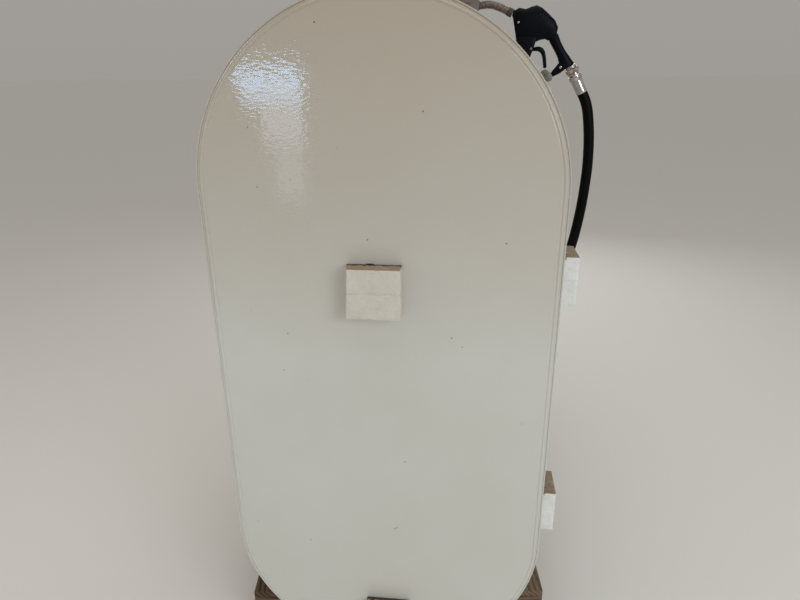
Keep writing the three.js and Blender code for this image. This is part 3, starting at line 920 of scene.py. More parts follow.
def slab(
    bm: BMesh,
    low: Point3,
    high: Point3,
    pitch: Point3,
    corner: float,
    rough: float,
    lump: float,
    seed: float = 0.0,
) -> list[BMVert]:
    """Makes a box of fine faces with rounded corners and an uneven skin.

    Args:
        bm: the mesh to add to.
        low: its lowest corner.
        high: its highest corner.
        pitch: the size of its faces along X, Y and Z.
        corner: the radius of its edges.
        rough: how deep its unevenness goes, always inwards.
        lump: the size of the unevenness.
        seed: moves the unevenness, so that no two are alike.

    Returns:
        The new vertices.
    """
    before = set(bm.verts)
    bottom, top = Vector(low), Vector(high)
    matrix = Matrix.Translation((top + bottom) / 2) @ Matrix.Diagonal((*(top - bottom), 1))
    bmesh.ops.create_cube(bm, size=1, matrix=matrix)
    for axis in range(3):
        cuts = round((top - bottom)[axis] / pitch[axis]) - 1
        made = [v for v in bm.verts if v not in before]
        along = [e for e in edges_of(made) if abs((e.verts[0].co - e.verts[1].co)[axis]) > 1e-4]
        if cuts > 0:
            bmesh.ops.subdivide_edges(bm, edges=along, cuts=cuts, use_grid_fill=True)
    made = [v for v in bm.verts if v not in before]
    reach = Vector((corner, corner, corner))
    for vert in made:
        core = Vector(max(a, min(p, b)) for p, a, b in zip(vert.co, bottom + reach, top - reach))
        out = (vert.co - core).normalized()
        shift = Vector((seed, seed * 1.7, seed * 0.6))
        dent = 0.5 + 0.5 * noise.noise((vert.co + shift) / lump)
        vert.co = core + out * (corner - rough * dent)
    return made


@dataclass
class SubAssembly:
    """A group of pieces that are modelled in one space of their own.

    Attributes:
        space: turns the group's millimetres into the frame's metres.
    """

    space: Matrix

    def build(self) -> None:
        """Makes every piece of the group."""
        raise NotImplementedError

    def piece(
        self,
        name: str,
        bm: BMesh,
        finish: Finish,
        nodes: Iterable[str] = (),
        body: Body = Body.TANK,
        crease: float = 35.0,
    ) -> bpy.types.Object:
        """Makes an object of a mesh, at the origin with its place in the mesh.

        Args:
            name: the piece's name.
            bm: its mesh in the group's millimetres, which is used up.
            finish: what it is made of.
            nodes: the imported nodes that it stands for.
            body: the body that it rides on.
            crease: the angle, in degrees, past which an edge shows sharp.

        Returns:
            The piece.
        """
        bmesh.ops.transform(bm, matrix=self.space, verts=bm.verts)
        bmesh.ops.recalc_face_normals(bm, faces=bm.faces)
        for face in bm.faces:
            face.smooth = True
        for edge in bm.edges:
            edge.smooth = edge.calc_face_angle(0) < math.radians(crease)
        mesh = bpy.data.meshes.new(name)
        bm.to_mesh(mesh)
        bm.free()
        mesh.materials.append(painted(finish))
        made = bpy.data.objects.new(name, mesh)
        bpy.context.scene.collection.objects.link(made)
        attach(made, body.value)
        if nodes:
            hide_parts(*nodes)
        LOG.info("%s: %d faces of %s", name, len(mesh.polygons), finish.name)
        return made


# The tank


@dataclass(frozen=True)
class Oval:
    """The tank's section, two half rounds joined by straight sides.

    Attributes:
        width: across.
        height: from its bottom, at z = 0, to its top.
        segments: the sides of both half rounds together.
    """

    width: float = 700
    height: float = 1500
    segments: int = 192

    @property
    def radius(self) -> float:
        """The half rounds' radius."""
        return self.width / 2

    def surface(self, x: float, gap: float = 0.0) -> float:
        """Gives the height of the upper round, a gap above it, at an x."""
        return self.height - self.radius + math.sqrt((self.radius + gap) ** 2 - x * x)

    def underside(self, x: float, gap: float = 0.0) -> float:
        """Gives the height of the lower round, a gap below it, at an x."""
        return self.radius - math.sqrt((self.radius + gap) ** 2 - x * x)

    def loop(self, bm: BMesh, inset: float, y: float) -> list[BMEdge]:
        """Draws the section across the tank.

        Args:
            bm: the mesh to add to.
            inset: how far it is drawn in.
            y: where it stands.

        Returns:
            Its edges.
        """
        half_step = Matrix.Rotation(math.pi / self.segments, 4, "Z")
        on_edge = Matrix.Rotation(math.pi / 2, 4, "X") @ half_step
        upright = Matrix.Translation((0, y, self.radius)) @ on_edge
        made = bmesh.ops.create_circle(
            bm, radius=self.radius - inset, segments=self.segments, matrix=upright
        )["verts"]
        upper = [v for v in made if v.co.z > self.radius]
        bmesh.ops.translate(bm, verts=upper, vec=(0, 0, self.height - self.width))
        return edges_of(made)


@dataclass
class TankShell(SubAssembly):
    """The rolled wrap, its seams, and the flanged ends that sit inside its edges."""

    oval: Oval = Oval()
    length: float = 1640
    wall: float = 3
    end_wall: float = 4
    proud: float = 1  # from the wrap's edge out to the end's face
    knuckle: float = 14
    knuckle_steps: int = 12
    flange: float = 40
    flat_rest: float = 6  # from the knuckle in to where the flat face starts
    edge_round: float = 0.8
    seam_radius: float = 3.4
    seam_sunk: float = 0.62  # how deep a seam's middle lies, in its radii
    seam_step: float = 6.0
    # The rim's (inset, depth behind the face): a pressed line, a raised bead, and the closing weld.
    rim: tuple[Point2, ...] = (
        (16.5, 0.0), (15.2, 0.0), (14.5, 0.25), (13.9, 0.7), (13.3, 0.75), (12.7, 0.3),
        (11.8, -0.6), (10.8, -1.1), (9.8, -1.15), (8.8, -0.8), (7.8, 0.1), (7.1, 1.2),
        (6.6, 1.8), (5.6, 1.9), (4.6, 1.7), (3.6, 1.9),
    )
    rim_weld: float = 0.6  # from the rim's last point in to the wrap

    @property
    def wrap_end(self) -> float:
        """The y of the wrap's edge."""
        return self.length / 2 - self.proud

    def build(self) -> None:
        """Makes the wrap, its seams and both ends."""
        self.wrap()
        self.seams()
        for side in (Side.FRONT, Side.REAR):
            self.end(side)

    def wrap(self) -> None:
        """Bends one sheet round the section, its edges slightly rounded."""
        end, inner, edge = self.wrap_end, self.wall, self.edge_round
        cut = edge * 0.3
        outline = (
            (edge, -end), (cut, -end + cut), (0, -end + edge), (0, end - edge), (cut, end - cut),
            (edge, end), (inner - edge, end), (inner, end - edge), (inner, -end + edge),
            (inner - edge, -end),
        )
        bm = bmesh.new()
        stacked(bm, [self.oval.loop(bm, inset, y) for inset, y in outline], closed=True)
        sides = ("shell_bottom_round", "shell_top_round", "shell_left_side", "shell_right_side")
        self.piece("rolled_wrap", bm, ENAMEL, sides, crease=50)

    def seams(self) -> None:
        """Lays the four lengthwise welds, where the rounds meet the flat sides."""
        bm = bmesh.new()
        reach = self.wrap_end - self.edge_round
        steps = round(2 * reach / self.seam_step)
        for side in (-1, 1):
            for z in (self.oval.radius, self.oval.height - self.oval.radius):
                x = side * (self.oval.radius - self.seam_radius * self.seam_sunk)
                path = [Vector((x, -reach + 2 * reach * i / steps, z)) for i in range(steps + 1)]
                bead(bm, path, self.seam_radius)
        self.piece("wrap_seams", bm, ENAMEL, crease=80)

    def end(self, side: Side) -> None:
        """Presses one end: a flat face, a beaded rim, and a flange along the wrap.

        Args:
            side: the end that it closes.
        """
        outer, face = self.wall + FIT_GAP, -self.length / 2
        rings = [(outer + self.knuckle + self.flat_rest, face)]
        rings += [(inset, face + depth) for inset, depth in self.rim]
        rings += [(outer, face + self.rim[-1][1] + self.rim_weld)]
        rings += [(outer, face + self.flange), (outer + self.end_wall, face + self.flange)]
        inner_run = self.knuckle - self.end_wall
        for i in range(self.knuckle_steps + 1):
            turn = math.pi / 2 * i / self.knuckle_steps
            drawn = self.end_wall + inner_run * (1 - math.cos(turn))
            rings.append((outer + drawn, face + self.knuckle - inner_run * math.sin(turn)))
        bm = bmesh.new()
        loops = [self.oval.loop(bm, inset, y) for inset, y in rings]
        stacked(bm, loops)
        for last in (loops[0], loops[-1]):
            bmesh.ops.edgeloop_fill(bm, edges=last)
        turned_round = Matrix.Rotation(math.radians(side.value), 4, "Z")
        bmesh.ops.transform(bm, matrix=turned_round, verts=bm.verts)
        name = side.name.lower()
        self.piece(f"flanged_end_{name}", bm, ENAMEL, [f"end_plate_{name}"], crease=50)


@dataclass
class Saddles(SubAssembly):
    """Two welded feet: a base plate, a web cut to the round, and a stiffener at each end."""

    oval: Oval = Oval()
    pitch: float = 450  # from the tank's middle
    width: float = 412
    plate_thick: float = 8
    plate_edge: float = 0.6
    base_edge: float = 1.2
    foot: float = 50
    base_depth: float = 80
    stiffener_depth: float = 60
    arc_steps: int = 40
    weld_steps: int = 70
    base_weld: float = 2.6
    tank_weld: float = 2.8
    screw_places: tuple[Point2, ...] = ((-100, -26), (-100, 26), (100, -26), (100, 26))
    washer: tuple[Point2, ...] = ((0, 0), (11, 0), (12, 0.5), (12, 1.8), (11.4, 2.3), (0, 2.3))
    head_radius: float = 9.4
    head_top: float = 9.3

    @property
    def base_top(self) -> float:
        """The height of the base plates' upper face."""
        return -self.foot + self.plate_thick

    def build(self) -> None:
        """Makes both feet and their screws."""
        screws = bmesh.new()
        for name, y in (("front", -self.pitch), ("rear", self.pitch)):
            bm = bmesh.new()
            self.foot_plates(bm, y)
            self.welds(bm, y)
            self.piece(f"welded_foot_{name}", bm, ENAMEL, [f"saddle_{name}"])
            for x, off in self.screw_places:
                self.screw(screws, x, y + off)
        self.piece("foot_screws", screws, ZINC)

    def under_round(self, left: float, right: float) -> list[Point2]:
        """Lists points along the tank's underside, a fit gap below it."""
        steps = [left + (right - left) * i / self.arc_steps for i in range(self.arc_steps + 1)]
        return [(x, self.oval.underside(x, FIT_GAP)) for x in steps]

    def foot_plates(self, bm: BMesh, y: float) -> None:
        """Cuts and stands the plates of one foot.

        Args:
            bm: the mesh to add to.
            y: the foot's middle.
        """
        half, deep, top = self.width / 2, self.base_depth / 2, self.base_top
        block(bm, (-half, y - deep, -self.foot), (half, y + deep, top), self.base_edge)
        thick = self.plate_thick / 2
        web = [(-half, top), (half, top), *reversed(self.under_round(-half, half))]
        plate(bm, web, y - thick, y + thick, self.plate_edge)
        deep = self.stiffener_depth / 2
        for side in (-1, 1):
            outside, inside = side * half, side * (half - self.plate_thick)
            post = [(outside, top), (inside, top), *self.under_round(inside, outside)]
            plate(bm, post, y - deep, y + deep, self.plate_edge)

    def welds(self, bm: BMesh, y: float) -> None:
        """Lays fillets along the web, on the base and against the tank.

        Args:
            bm: the mesh to add to.
            y: the foot's middle.
        """
        inside = self.width / 2 - self.plate_thick
        steps = [-inside + 2 * inside * i / self.weld_steps for i in range(self.weld_steps + 1)]
        for side in (-1, 1):
            edge = y + side * (self.plate_thick / 2 + 1)
            bead(bm, [Vector((x, edge, self.base_top + 1)) for x in steps], self.base_weld)
            bead(bm, [Vector((x, edge, self.oval.underside(x, 1.5))) for x in steps], self.tank_weld)

    def screw(self, bm: BMesh, x: float, y: float) -> None:
        """Drives a hexagon coach screw with its washer into the base plate.

        Args:
            bm: the mesh to add to.
            x: the screw's place across the tank.
            y: its place along the tank.
        """
        place = Matrix.Translation((x, y, self.base_top))
        turned(bm, self.washer, place, 32)
        spin = place @ Matrix.Rotation(x + y, 4, "Z")
        hexagon(bm, self.head_radius, self.washer[-1][1], self.head_top, spin)


@dataclass(frozen=True)
class PadPlace:
    """One foam pad's place.

    Attributes:
        node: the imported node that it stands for.
        side: the way it looks.
        across: its middle along the wall, in the tank's x or y.
        z: its middle's height.
        blob: how far from its middle a blob of glue has squeezed out at its back edge, if one has.
        askew: how much too wide it was cut on its left, at its foot and at its back.
    """

    node: str
    side: Side
    across: float
    z: float
    blob: float | None = None
    askew: Point2 = (0.0, 0.0)


@dataclass
class FoamPads(SubAssembly):
    """Foam blocks stuck to the ends and to the right side, which keep the tank off its neighbours."""

    oval: Oval = Oval()
    length: float = 1640  # the tank's
    depth: float = 39
    end_size: Point2 = (104, 103)
    side_size: Point2 = (88, 104)
    cell: float = 3.6
    corner: float = 2.6
    rough: float = 0.9
    lump: float = 9.0
    seed_step: float = 37.0
    crease_depth: float = 1.1
    crease_half: float = 1.5
    crease_cuts: tuple[float, ...] = (-2.2, -1.1, 0.0, 1.1, 2.2)
    crease_wander: float = 1.6
    crease_wave: float = 22  # how slowly the crease wanders
    crease_rise: float = 2.0  # above the pad's middle
    blob_radius: float = 8.0
    blob_rise: float = 1.8
    blob_edge: float = 3.0  # across which the blob rises
    glue_and_shade_reach: float = 10.0  # how far the dark line of painted shade at the wall comes out from it
    glue_and_shade_wave: float = 5.0
    glue_and_shade_shown: float = 0.85
    places: tuple[PadPlace, ...] = (
        PadPlace("end_pad_front_centre", Side.FRONT, -7, 963, -9.8, (5.0, 6.0)),
        PadPlace("end_pad_front_bottom", Side.FRONT, 4, 114),
        PadPlace("end_pad_rear_centre", Side.REAR, -7, 963),
        PadPlace("end_pad_rear_bottom", Side.REAR, 4, 114),
        PadPlace("side_pad_front_upper", Side.RIGHT, -712, 966),
        PadPlace("side_pad_front_lower", Side.RIGHT, -712, 400),
        PadPlace("side_pad_rear_upper", Side.RIGHT, 712, 966),
        PadPlace("side_pad_rear_lower", Side.RIGHT, 712, 400),
    )

    def build(self) -> None:
        for number, place in enumerate(self.places):
            bm = self.pad(place, number * self.seed_step)
            bmesh.ops.transform(bm, matrix=self.stuck_at(place), verts=bm.verts)
            # The side pads take the foam's lit copy, painted whiter for the light on the right side.
            foam = LIT_SIDE_FOAM if place.side is Side.RIGHT else SHADED_END_FOAM
            made = self.piece(f"foam_{place.node}", bm, foam, [place.node], crease=60)

    def stuck_at(self, place: PadPlace) -> Matrix:
        """Gives the matrix that puts a pad's back on its wall.

        Args:
            place: which pad it is.

        Returns:
            The matrix.
        """
        if place.side is Side.RIGHT:
            foot = Vector((self.oval.radius + FIT_GAP, place.across, place.z))
        else:
            sign = -1 if place.side is Side.FRONT else 1
            foot = Vector((place.across, sign * (self.length / 2 + FIT_GAP), place.z))
        return Matrix.Translation(foot) @ Matrix.Rotation(math.radians(place.side.value), 4, "Z")

    def pad(self, place: PadPlace, seed: float) -> BMesh:
        """Cuts one pad, looking at -Y, with its worn edges, its dark line of painted shade at the wall,
        and its glue blob.

        Args:
            place: which pad it is.
            seed: what makes its wear its own.

        Returns:
            The mesh.
        """
        wide, high = self.side_size if place.side is Side.RIGHT else self.end_size
        low, top = (-wide / 2, -self.depth, -high / 2), (wide / 2, 0, high / 2)
        bm = bmesh.new()
        slab(bm, low, top, (self.cell,) * 3, self.corner, self.rough, self.lump, seed)
        self.crease(bm, wide, seed)
        if place.blob is not None:
            self.squeeze_out(bm, place.blob, high / 2)
        self.glue(bm, place.blob, high / 2)
        for vert in bm.verts:
            leftness = max(0.0, -2 * vert.co.x / wide)
            at_foot, at_back = 0.5 - vert.co.z / high, 1 + vert.co.y / self.depth
            vert.co.x -= leftness * (place.askew[0] * at_foot + place.askew[1] * at_back)
        return bm

    def crease(self, bm: BMesh, wide: float, seed: float) -> None:
        """Presses the joint between the pad's two layers, which wanders a little.

        Args:
            bm: the pad.
            wide: its width.
            seed: what makes its joint its own.
        """
        line = self.crease_rise
        for cut in self.crease_cuts:
            bmesh.ops.bisect_plane(
                bm,
                geom=[*bm.verts, *bm.edges, *bm.faces],
                dist=1e-4,
                plane_co=(0, 0, line + cut),
                plane_no=(0, 0, 1),
            )
        for vert in bm.verts:
            if abs(vert.co.z - line) >= 3 * self.crease_half:
                continue
            spot = Vector((vert.co.x / self.crease_wave, vert.co.y / self.crease_wave, seed))
            near = math.exp(-(((vert.co.z - line) / self.crease_half) ** 2))
            inward = Vector((-vert.co.x, -self.depth / 2 - vert.co.y, 0))
            on_side = abs(vert.co.x) > wide / 2 - 2
            push = Vector((inward.x, 0, 0)) if on_side else Vector((0, inward.y, 0))
            if push.length > 0:
                vert.co += push.normalized() * self.crease_depth * near
            vert.co.z += self.crease_wander * noise.noise(spot) * near

    def glue(self, bm: BMesh, blob: float | None, top: float) -> None:
        """Marks where the dark colour shows: painted shade along the top edge at the wall, and glue on
        the blob.

        Args:
            bm: the pad.
            blob: the blob's middle, if there is one.
            top: the pad's top.
        """
        layer = bm.verts.layers.float.new("glue")
        for vert in bm.verts:
            if vert.co.z <= top - self.corner * 1.5:
                continue
            ragged = 1 + noise.noise(vert.co / self.glue_and_shade_wave)
            # Painted shade along the top edge, in the corner with the wall.
            if vert.co.y > -self.glue_and_shade_reach * ragged:
                vert[layer] = self.glue_and_shade_shown
            if blob is not None and (vert.co.xy - Vector((blob, 0))).length < self.blob_radius + 0.5:
                vert[layer] = 1.0

    def squeeze_out(self, bm: BMesh, x: float, top: float) -> None:
        """Raises a half-round blob on the top edge against the wall.

        Args:
            bm: the pad.
            x: the blob's middle.
            top: the pad's top.
        """
        reach = self.blob_radius + self.cell
        near = [
            edge
            for edge in bm.edges
            if all(v.co.z > top - 2 and (v.co.xy - Vector((x, 0))).length < reach for v in edge.verts)
        ]
        bmesh.ops.subdivide_edges(bm, edges=near, cuts=3, use_grid_fill=True)
        for vert in bm.verts:
            away = (vert.co.xy - Vector((x, 0))).length
            if vert.co.z > top - self.corner * 1.5 and away < self.blob_radius:
                vert.co.z += self.blob_rise * min(1.0, (self.blob_radius - away) / self.blob_edge)


# Fittings on the tank's top


@dataclass
class TopFittings(SubAssembly):
    """Inspection cover, fill pipe, level gauge and vent along the tank's ridge."""

    oval: Oval = Oval()
    sunk: float = 1478  # where the pipes end, under the shell's surface
    weld_radius: float = 3.2
    cover_y: float = -420
    cover_radius: float = 125
    cover_thick: float = 8
    cover_step: float = 88  # the radius inside which the cover steps down
    neck_radius: float = 100
    neck_top: float = 1545
    neck_flange: float = 10
    gasket: float = 2
    bolts: int = 12
    bolt_circle: float = 112.5
    bolt_head: float = 8.6
    washer: float = 10
    fill_y: float = 470
    fill_radius: float = 30
    fill_top: float = 1570
    cap_radius: float = 38
    cap_height: float = 32
    cap_ribs: int = 16
    gauge_y: float = 240
    stub_radius: float = 22
    stub_top: float = 1528
    gauge_radius: float = 42
    gauge_height: float = 46
    dial_start: float = 225  # the zero mark's angle, in degrees
    dial_sweep: float = 270
    dial_marks: int = 20
    mark_reach: float = 33
    figures: str = "01234"
    figure_reach: float = 20
    figure_size: float = 8.5
    hand_turn: float = 72
    vent_y: float = 610
    vent_radius: float = 24
    vent_top: float = 1640
    cowl_radius: float = 44
    cowl_height: float = 40
    gauze_wires: int = 72
    gauze_rings: Point3 = (4.5, 7.0, 9.5)

    def build(self) -> None:
        """Makes every fitting, in order from the front."""
        self.inspection()
        self.cover()
        self.gauge()
        self.dial()
        self.fill()
        self.vent()
        self.gauze()

    def collar_weld(self, bm: BMesh, y: float, radius: float) -> None:
        """Welds a round pipe to the shell.

        Args:
            bm: the mesh to add to.
            y: where the pipe stands.
            radius: the pipe's.
        """
        steps = max(24, round(math.tau * radius / 5))
        path = []
        for i in range(steps):
            turn = math.tau * i / steps
            x = (radius + 1) * math.cos(turn)
            path.append(Vector((x, y + (radius + 1) * math.sin(turn), self.oval.surface(x, 1))))
        bead(bm, path, self.weld_radius, closed=True)

    def inspection(self) -> None:
        """Turns the neck with its flange, and lays the gasket on it."""
        place = Matrix.Translation((0, self.cover_y, 0))
        r, neck, top = self.cover_radius, self.neck_radius, self.neck_top - self.gasket
        low = self.neck_top - self.neck_flange
        bm = bmesh.new()
        ring = (
            (0, self.sunk), (neck, self.sunk), (neck, low - 4), (neck + 4, low), (r - 1, low),
            (r, low + 1), (r, top - 1), (r - 1, top), (0, top),
        )
        turned(bm, ring, place, 96)
        self.collar_weld(bm, self.cover_y, neck)
        self.piece("inspection_ring", bm, ENAMEL, ["inspection_neck"])
        bm = bmesh.new()
        edge = r - 1.5
        turned(bm, [(0, top), (edge, top), (edge, self.neck_top), (0, self.neck_top)], place, 96)
        self.piece("inspection_gasket", bm, GASKET)

    def cover(self) -> None:
        """Turns the inspection cover, and bolts it down all round."""
        r, step = self.cover_radius, self.cover_step
        low, top = self.neck_top + FIT_GAP, self.neck_top + FIT_GAP + self.cover_thick
        bm = bmesh.new()
        lid = (
            (0, low), (r - 1, low), (r, low + 1), (r, top - 1.5), (r - 1.5, top), (step, top),
            (step - 4, top - 1.2), (0, top - 1.2),
        )
        turned(bm, lid, Matrix.Translation((0, self.cover_y, 0)), 96)
        self.piece("bolted_cover", bm, ENAMEL, ["inspection_cover"])
        bm = bmesh.new()
        wide, high, under = self.washer, top + 1.6, self.neck_top - self.neck_flange
        washer = [(0, top), (wide - 0.5, top), (wide, top + 0.5), (wide, high), (0, high)]
        shank = [(0, under - 12), (4.4, under - 12), (5, under - 11), (5, under), (0, under)]
        for i in range(self.bolts):
            turn = math.tau * (i + 0.5) / self.bolts
            x, y = self.bolt_circle * math.cos(turn), self.cover_y + self.bolt_circle * math.sin(turn)
            spot = Matrix.Translation((x, y, 0))
            turned(bm, washer, spot, 24)
            spin = spot @ Matrix.Rotation(turn * 5, 4, "Z")
            hexagon(bm, self.bolt_head, high, top + 8, spin)
            hexagon(bm, self.bolt_head, under - 8, under - 0.2, spin)
            turned(bm, shank, spot, 16)
        self.piece("cover_bolts", bm, ZINC)

    def gauge(self) -> None:
        """Turns the gauge's stub and its head."""
        place = Matrix.Translation((0, self.gauge_y, 0))
        r, stub, base = self.gauge_radius, self.stub_radius, self.stub_top
        top = base + self.gauge_height
        bm = bmesh.new()
        head = (
            (0, self.sunk), (stub, self.sunk), (stub, base), (r - 6, base), (r - 2, base + 2),
            (r, base + 8), (r, top - 12), (r - 1.2, top - 11), (r - 1.2, top - 9), (r, top - 8),
            (r, top - 1.5), (r - 1.5, top), (r - 5, top), (r - 6, top - 1), (r - 6, top - 5),
            (0, top - 5),
        )
        turned(bm, head, place, 72)
        hexagon(bm, stub + 6, base - 16, base - 4, place)
        self.collar_weld(bm, self.gauge_y, stub)
        self.piece("float_gauge", bm, ZINC, ["level_gauge"])

    def dial(self) -> None:
        """Prints the gauge's dial, which is read from above, and sets its hand."""
        place = Matrix.Translation((0, self.gauge_y, 0))
        low = self.stub_top + self.gauge_height - 5
        card, height = self.gauge_radius - 6.3, low + 0.6
        bm = bmesh.new()
        turned(bm, [(0, low), (card, low), (card, height), (0, height)], place, 64)
        self.piece("gauge_card", bm, DIAL_WHITE)
        bm = bmesh.new()
        out = self.mark_reach
        for i in range(self.dial_marks + 1):
            long, wide = (7.0, 0.9) if i % 5 == 0 else (4.0, 0.5)
            turn = math.radians(self.dial_start - self.dial_sweep * i / self.dial_marks)
            spot = place @ Matrix.Rotation(turn, 4, "Z")
            block(bm, (out - long, -wide, height), (out, wide, height + 0.3), 0, matrix=spot)
        for i, text in enumerate(self.figures):
            turn = math.radians(self.dial_start - self.dial_sweep * i / (len(self.figures) - 1))
            x, y = self.figure_reach * math.cos(turn), self.figure_reach * math.sin(turn)
            self.figure(bm, text, place @ Matrix.Translation((x, y, height)))
        self.piece("gauge_figures", bm, DIAL_BLACK)
        bm = bmesh.new()
        pointing = place @ Matrix.Rotation(math.radians(self.hand_turn), 4, "Z")
        block(bm, (-8, -1.1, height + 1.4), (26, 1.1, height + 2.2), 0.3, matrix=pointing)
        turned(bm, [(0, height), (3.6, height), (3.6, height + 2.8), (0, height + 3.2)], place, 24)
        self.piece("gauge_hand", bm, POINTER_RED)

    def figure(self, bm: BMesh, text: str, matrix: Matrix) -> None:
        """Prints one figure on the dial.

        Args:
            bm: the mesh to add to.
            text: the figure.
            matrix: its middle's place.
        """
        curve = bpy.data.curves.new("figure", "FONT")
        curve.body = text
        curve.size = self.figure_size
        curve.extrude = 0.2
        curve.align_x = "CENTER"
        curve.align_y = "CENTER"
        drawn = bpy.data.objects.new("figure", curve)
        mesh = drawn.to_mesh()
        mesh.transform(matrix)
        bm.from_mesh(mesh)
        drawn.to_mesh_clear()
        bpy.data.objects.remove(drawn)
        bpy.data.curves.remove(curve)

    def fill(self) -> None:
        """Turns the fill pipe and its ribbed screw cap."""
        place = Matrix.Translation((0, self.fill_y, 0))
        r, top, sunk = self.fill_radius, self.fill_top, self.sunk
        bm = bmesh.new()
        pipe = [(0, sunk), (r - 1, sunk), (r - 1, top - 26), (r, top - 25), (r, top - 0.5), (0, top)]
        turned(bm, pipe, place, 64)
        self.collar_weld(bm, self.fill_y, r - 1)
        self.piece("fill_neck", bm, ENAMEL, ["fill_pipe"])
        low, high, outer = top + FIT_GAP, top + FIT_GAP + self.cap_height, self.cap_radius
        core = outer - 3
        bm = bmesh.new()
        cap = (
            (0, low), (core, low), (outer, low + 1.5), (outer, low + 6), (core, low + 8),
            (core, high - 6), (core - 2, high - 2), (core - 6, high), (14, high), (12, high - 3),
            (0, high - 3),
        )
        turned(bm, cap, place, 64)
        for i in range(self.cap_ribs):
            spot = place @ Matrix.Rotation(math.tau * i / self.cap_ribs, 4, "Z")
            block(bm, (core - 1, -2.6, low + 6), (outer - 0.3, 2.6, high - 5), 1.2, matrix=spot)
        self.piece("ribbed_fill_cap", bm, ZINC_CASTING, ["fill_cap"])

    def vent(self) -> None:
        """Turns the vent pipe and the cowl over it."""
        place = Matrix.Translation((0, self.vent_y, 0))
        r, top = self.vent_radius, self.vent_top
        bm = bmesh.new()
        turned(bm, [(0, self.sunk), (r, self.sunk), (r, top - 0.6), (r - 0.6, top), (0, top)], place, 64)
        self.collar_weld(bm, self.vent_y, r)
        self.piece("vent_riser", bm, ENAMEL, ["vent_pipe"])
        low, outer, high = top + FIT_GAP, self.cowl_radius, top + FIT_GAP + self.cowl_height
        bm = bmesh.new()
        hood = (
            (0, low), (r + 4, low), (r + 4, low + 3), (outer - 6, low + 3), (outer - 6, low + 14),
            (outer, low + 12), (outer, low + 15.5), (outer - 2, low + 19), (outer - 8, low + 28),
            (outer - 17, low + 35.5), (outer - 30, high - 0.8), (0, high),
        )
        turned(bm, hood, place, 72)
        self.piece("vent_hood", bm, ZINC, ["vent_cowl"])

    def gauze(self) -> None:
        """Weaves the gauze that closes the cowl's mouth."""
        place = Matrix.Translation((0, self.vent_y, 0))
        low, ring = self.vent_top + FIT_GAP, self.cowl_radius - 5.2
        inner = self.cowl_radius - 6
        bm = bmesh.new()
        for i in range(self.gauze_wires):
            spot = place @ Matrix.Rotation(math.tau * i / self.gauze_wires, 4, "Z")
            block(bm, (inner, -0.45, low + 3), (ring, 0.45, low + 14), 0, matrix=spot)
        for rise in self.gauze_rings:
            z, over = low + rise, low + rise + 0.7
            turned(bm, [(ring - 0.6, z), (ring, z), (ring, over), (ring - 0.6, over)], place, 72)
        self.piece("vent_gauze", bm, GASKET)


@dataclass
class LiftingLugs(SubAssembly):
    """Two upright plates along the ridge, each with a hole for a shackle."""

    oval: Oval = Oval()
    pitch: float = 735
    length: float = 110
    height: float = 75
    thick: float = 12
    edge: float = 0.9
    corner: float = 7
    hole: float = 18
    hole_sides: int = 40
    shoulder: float = 22.5
    top_length: float = 49.5
    sunk: float = 8
    weld_radius: float = 3.4
    weld_steps: int = 24

    def build(self) -> None:
        """Cuts, drills and welds both lugs."""
        half, crown = self.length / 2, self.top_length / 2
        base = self.oval.height
        low, shoulder, top = base - self.sunk, base + self.shoulder, base + self.height
        outline = [(-half, low), (half, low), (half, shoulder), (crown, top)]
        outline += [(-crown, top), (-half, shoulder)]
        turns = [math.tau * i / self.hole_sides for i in range(self.hole_sides)]
        middle = base + self.height / 2
        drilled = [(self.hole * math.cos(t), middle + self.hole * math.sin(t)) for t in turns]
        for name, y in (("front", -self.pitch), ("rear", self.pitch)):
            bm = bmesh.new()
            rounded = eased(outline, self.corner, closed=True)
            plate(bm, rounded, -self.thick / 2, self.thick / 2, self.edge, drilled)
            along = Matrix.Translation((0, y, 0)) @ Matrix.Rotation(math.pi / 2, 4, "Z")
            bmesh.ops.transform(bm, matrix=along, verts=bm.verts)
            for side in (-1, 1):
                x = side * (self.thick / 2 + 1)
                steps = [y - half + self.length * i / self.weld_steps for i in range(self.weld_steps + 1)]
                bead(bm, [Vector((x, step, self.oval.surface(x, 1))) for step in steps], self.weld_radius)
            self.piece(f"lifting_eye_{name}", bm, ENAMEL, [f"lifting_lug_{name}"])


# Pump housing, nozzle and hose


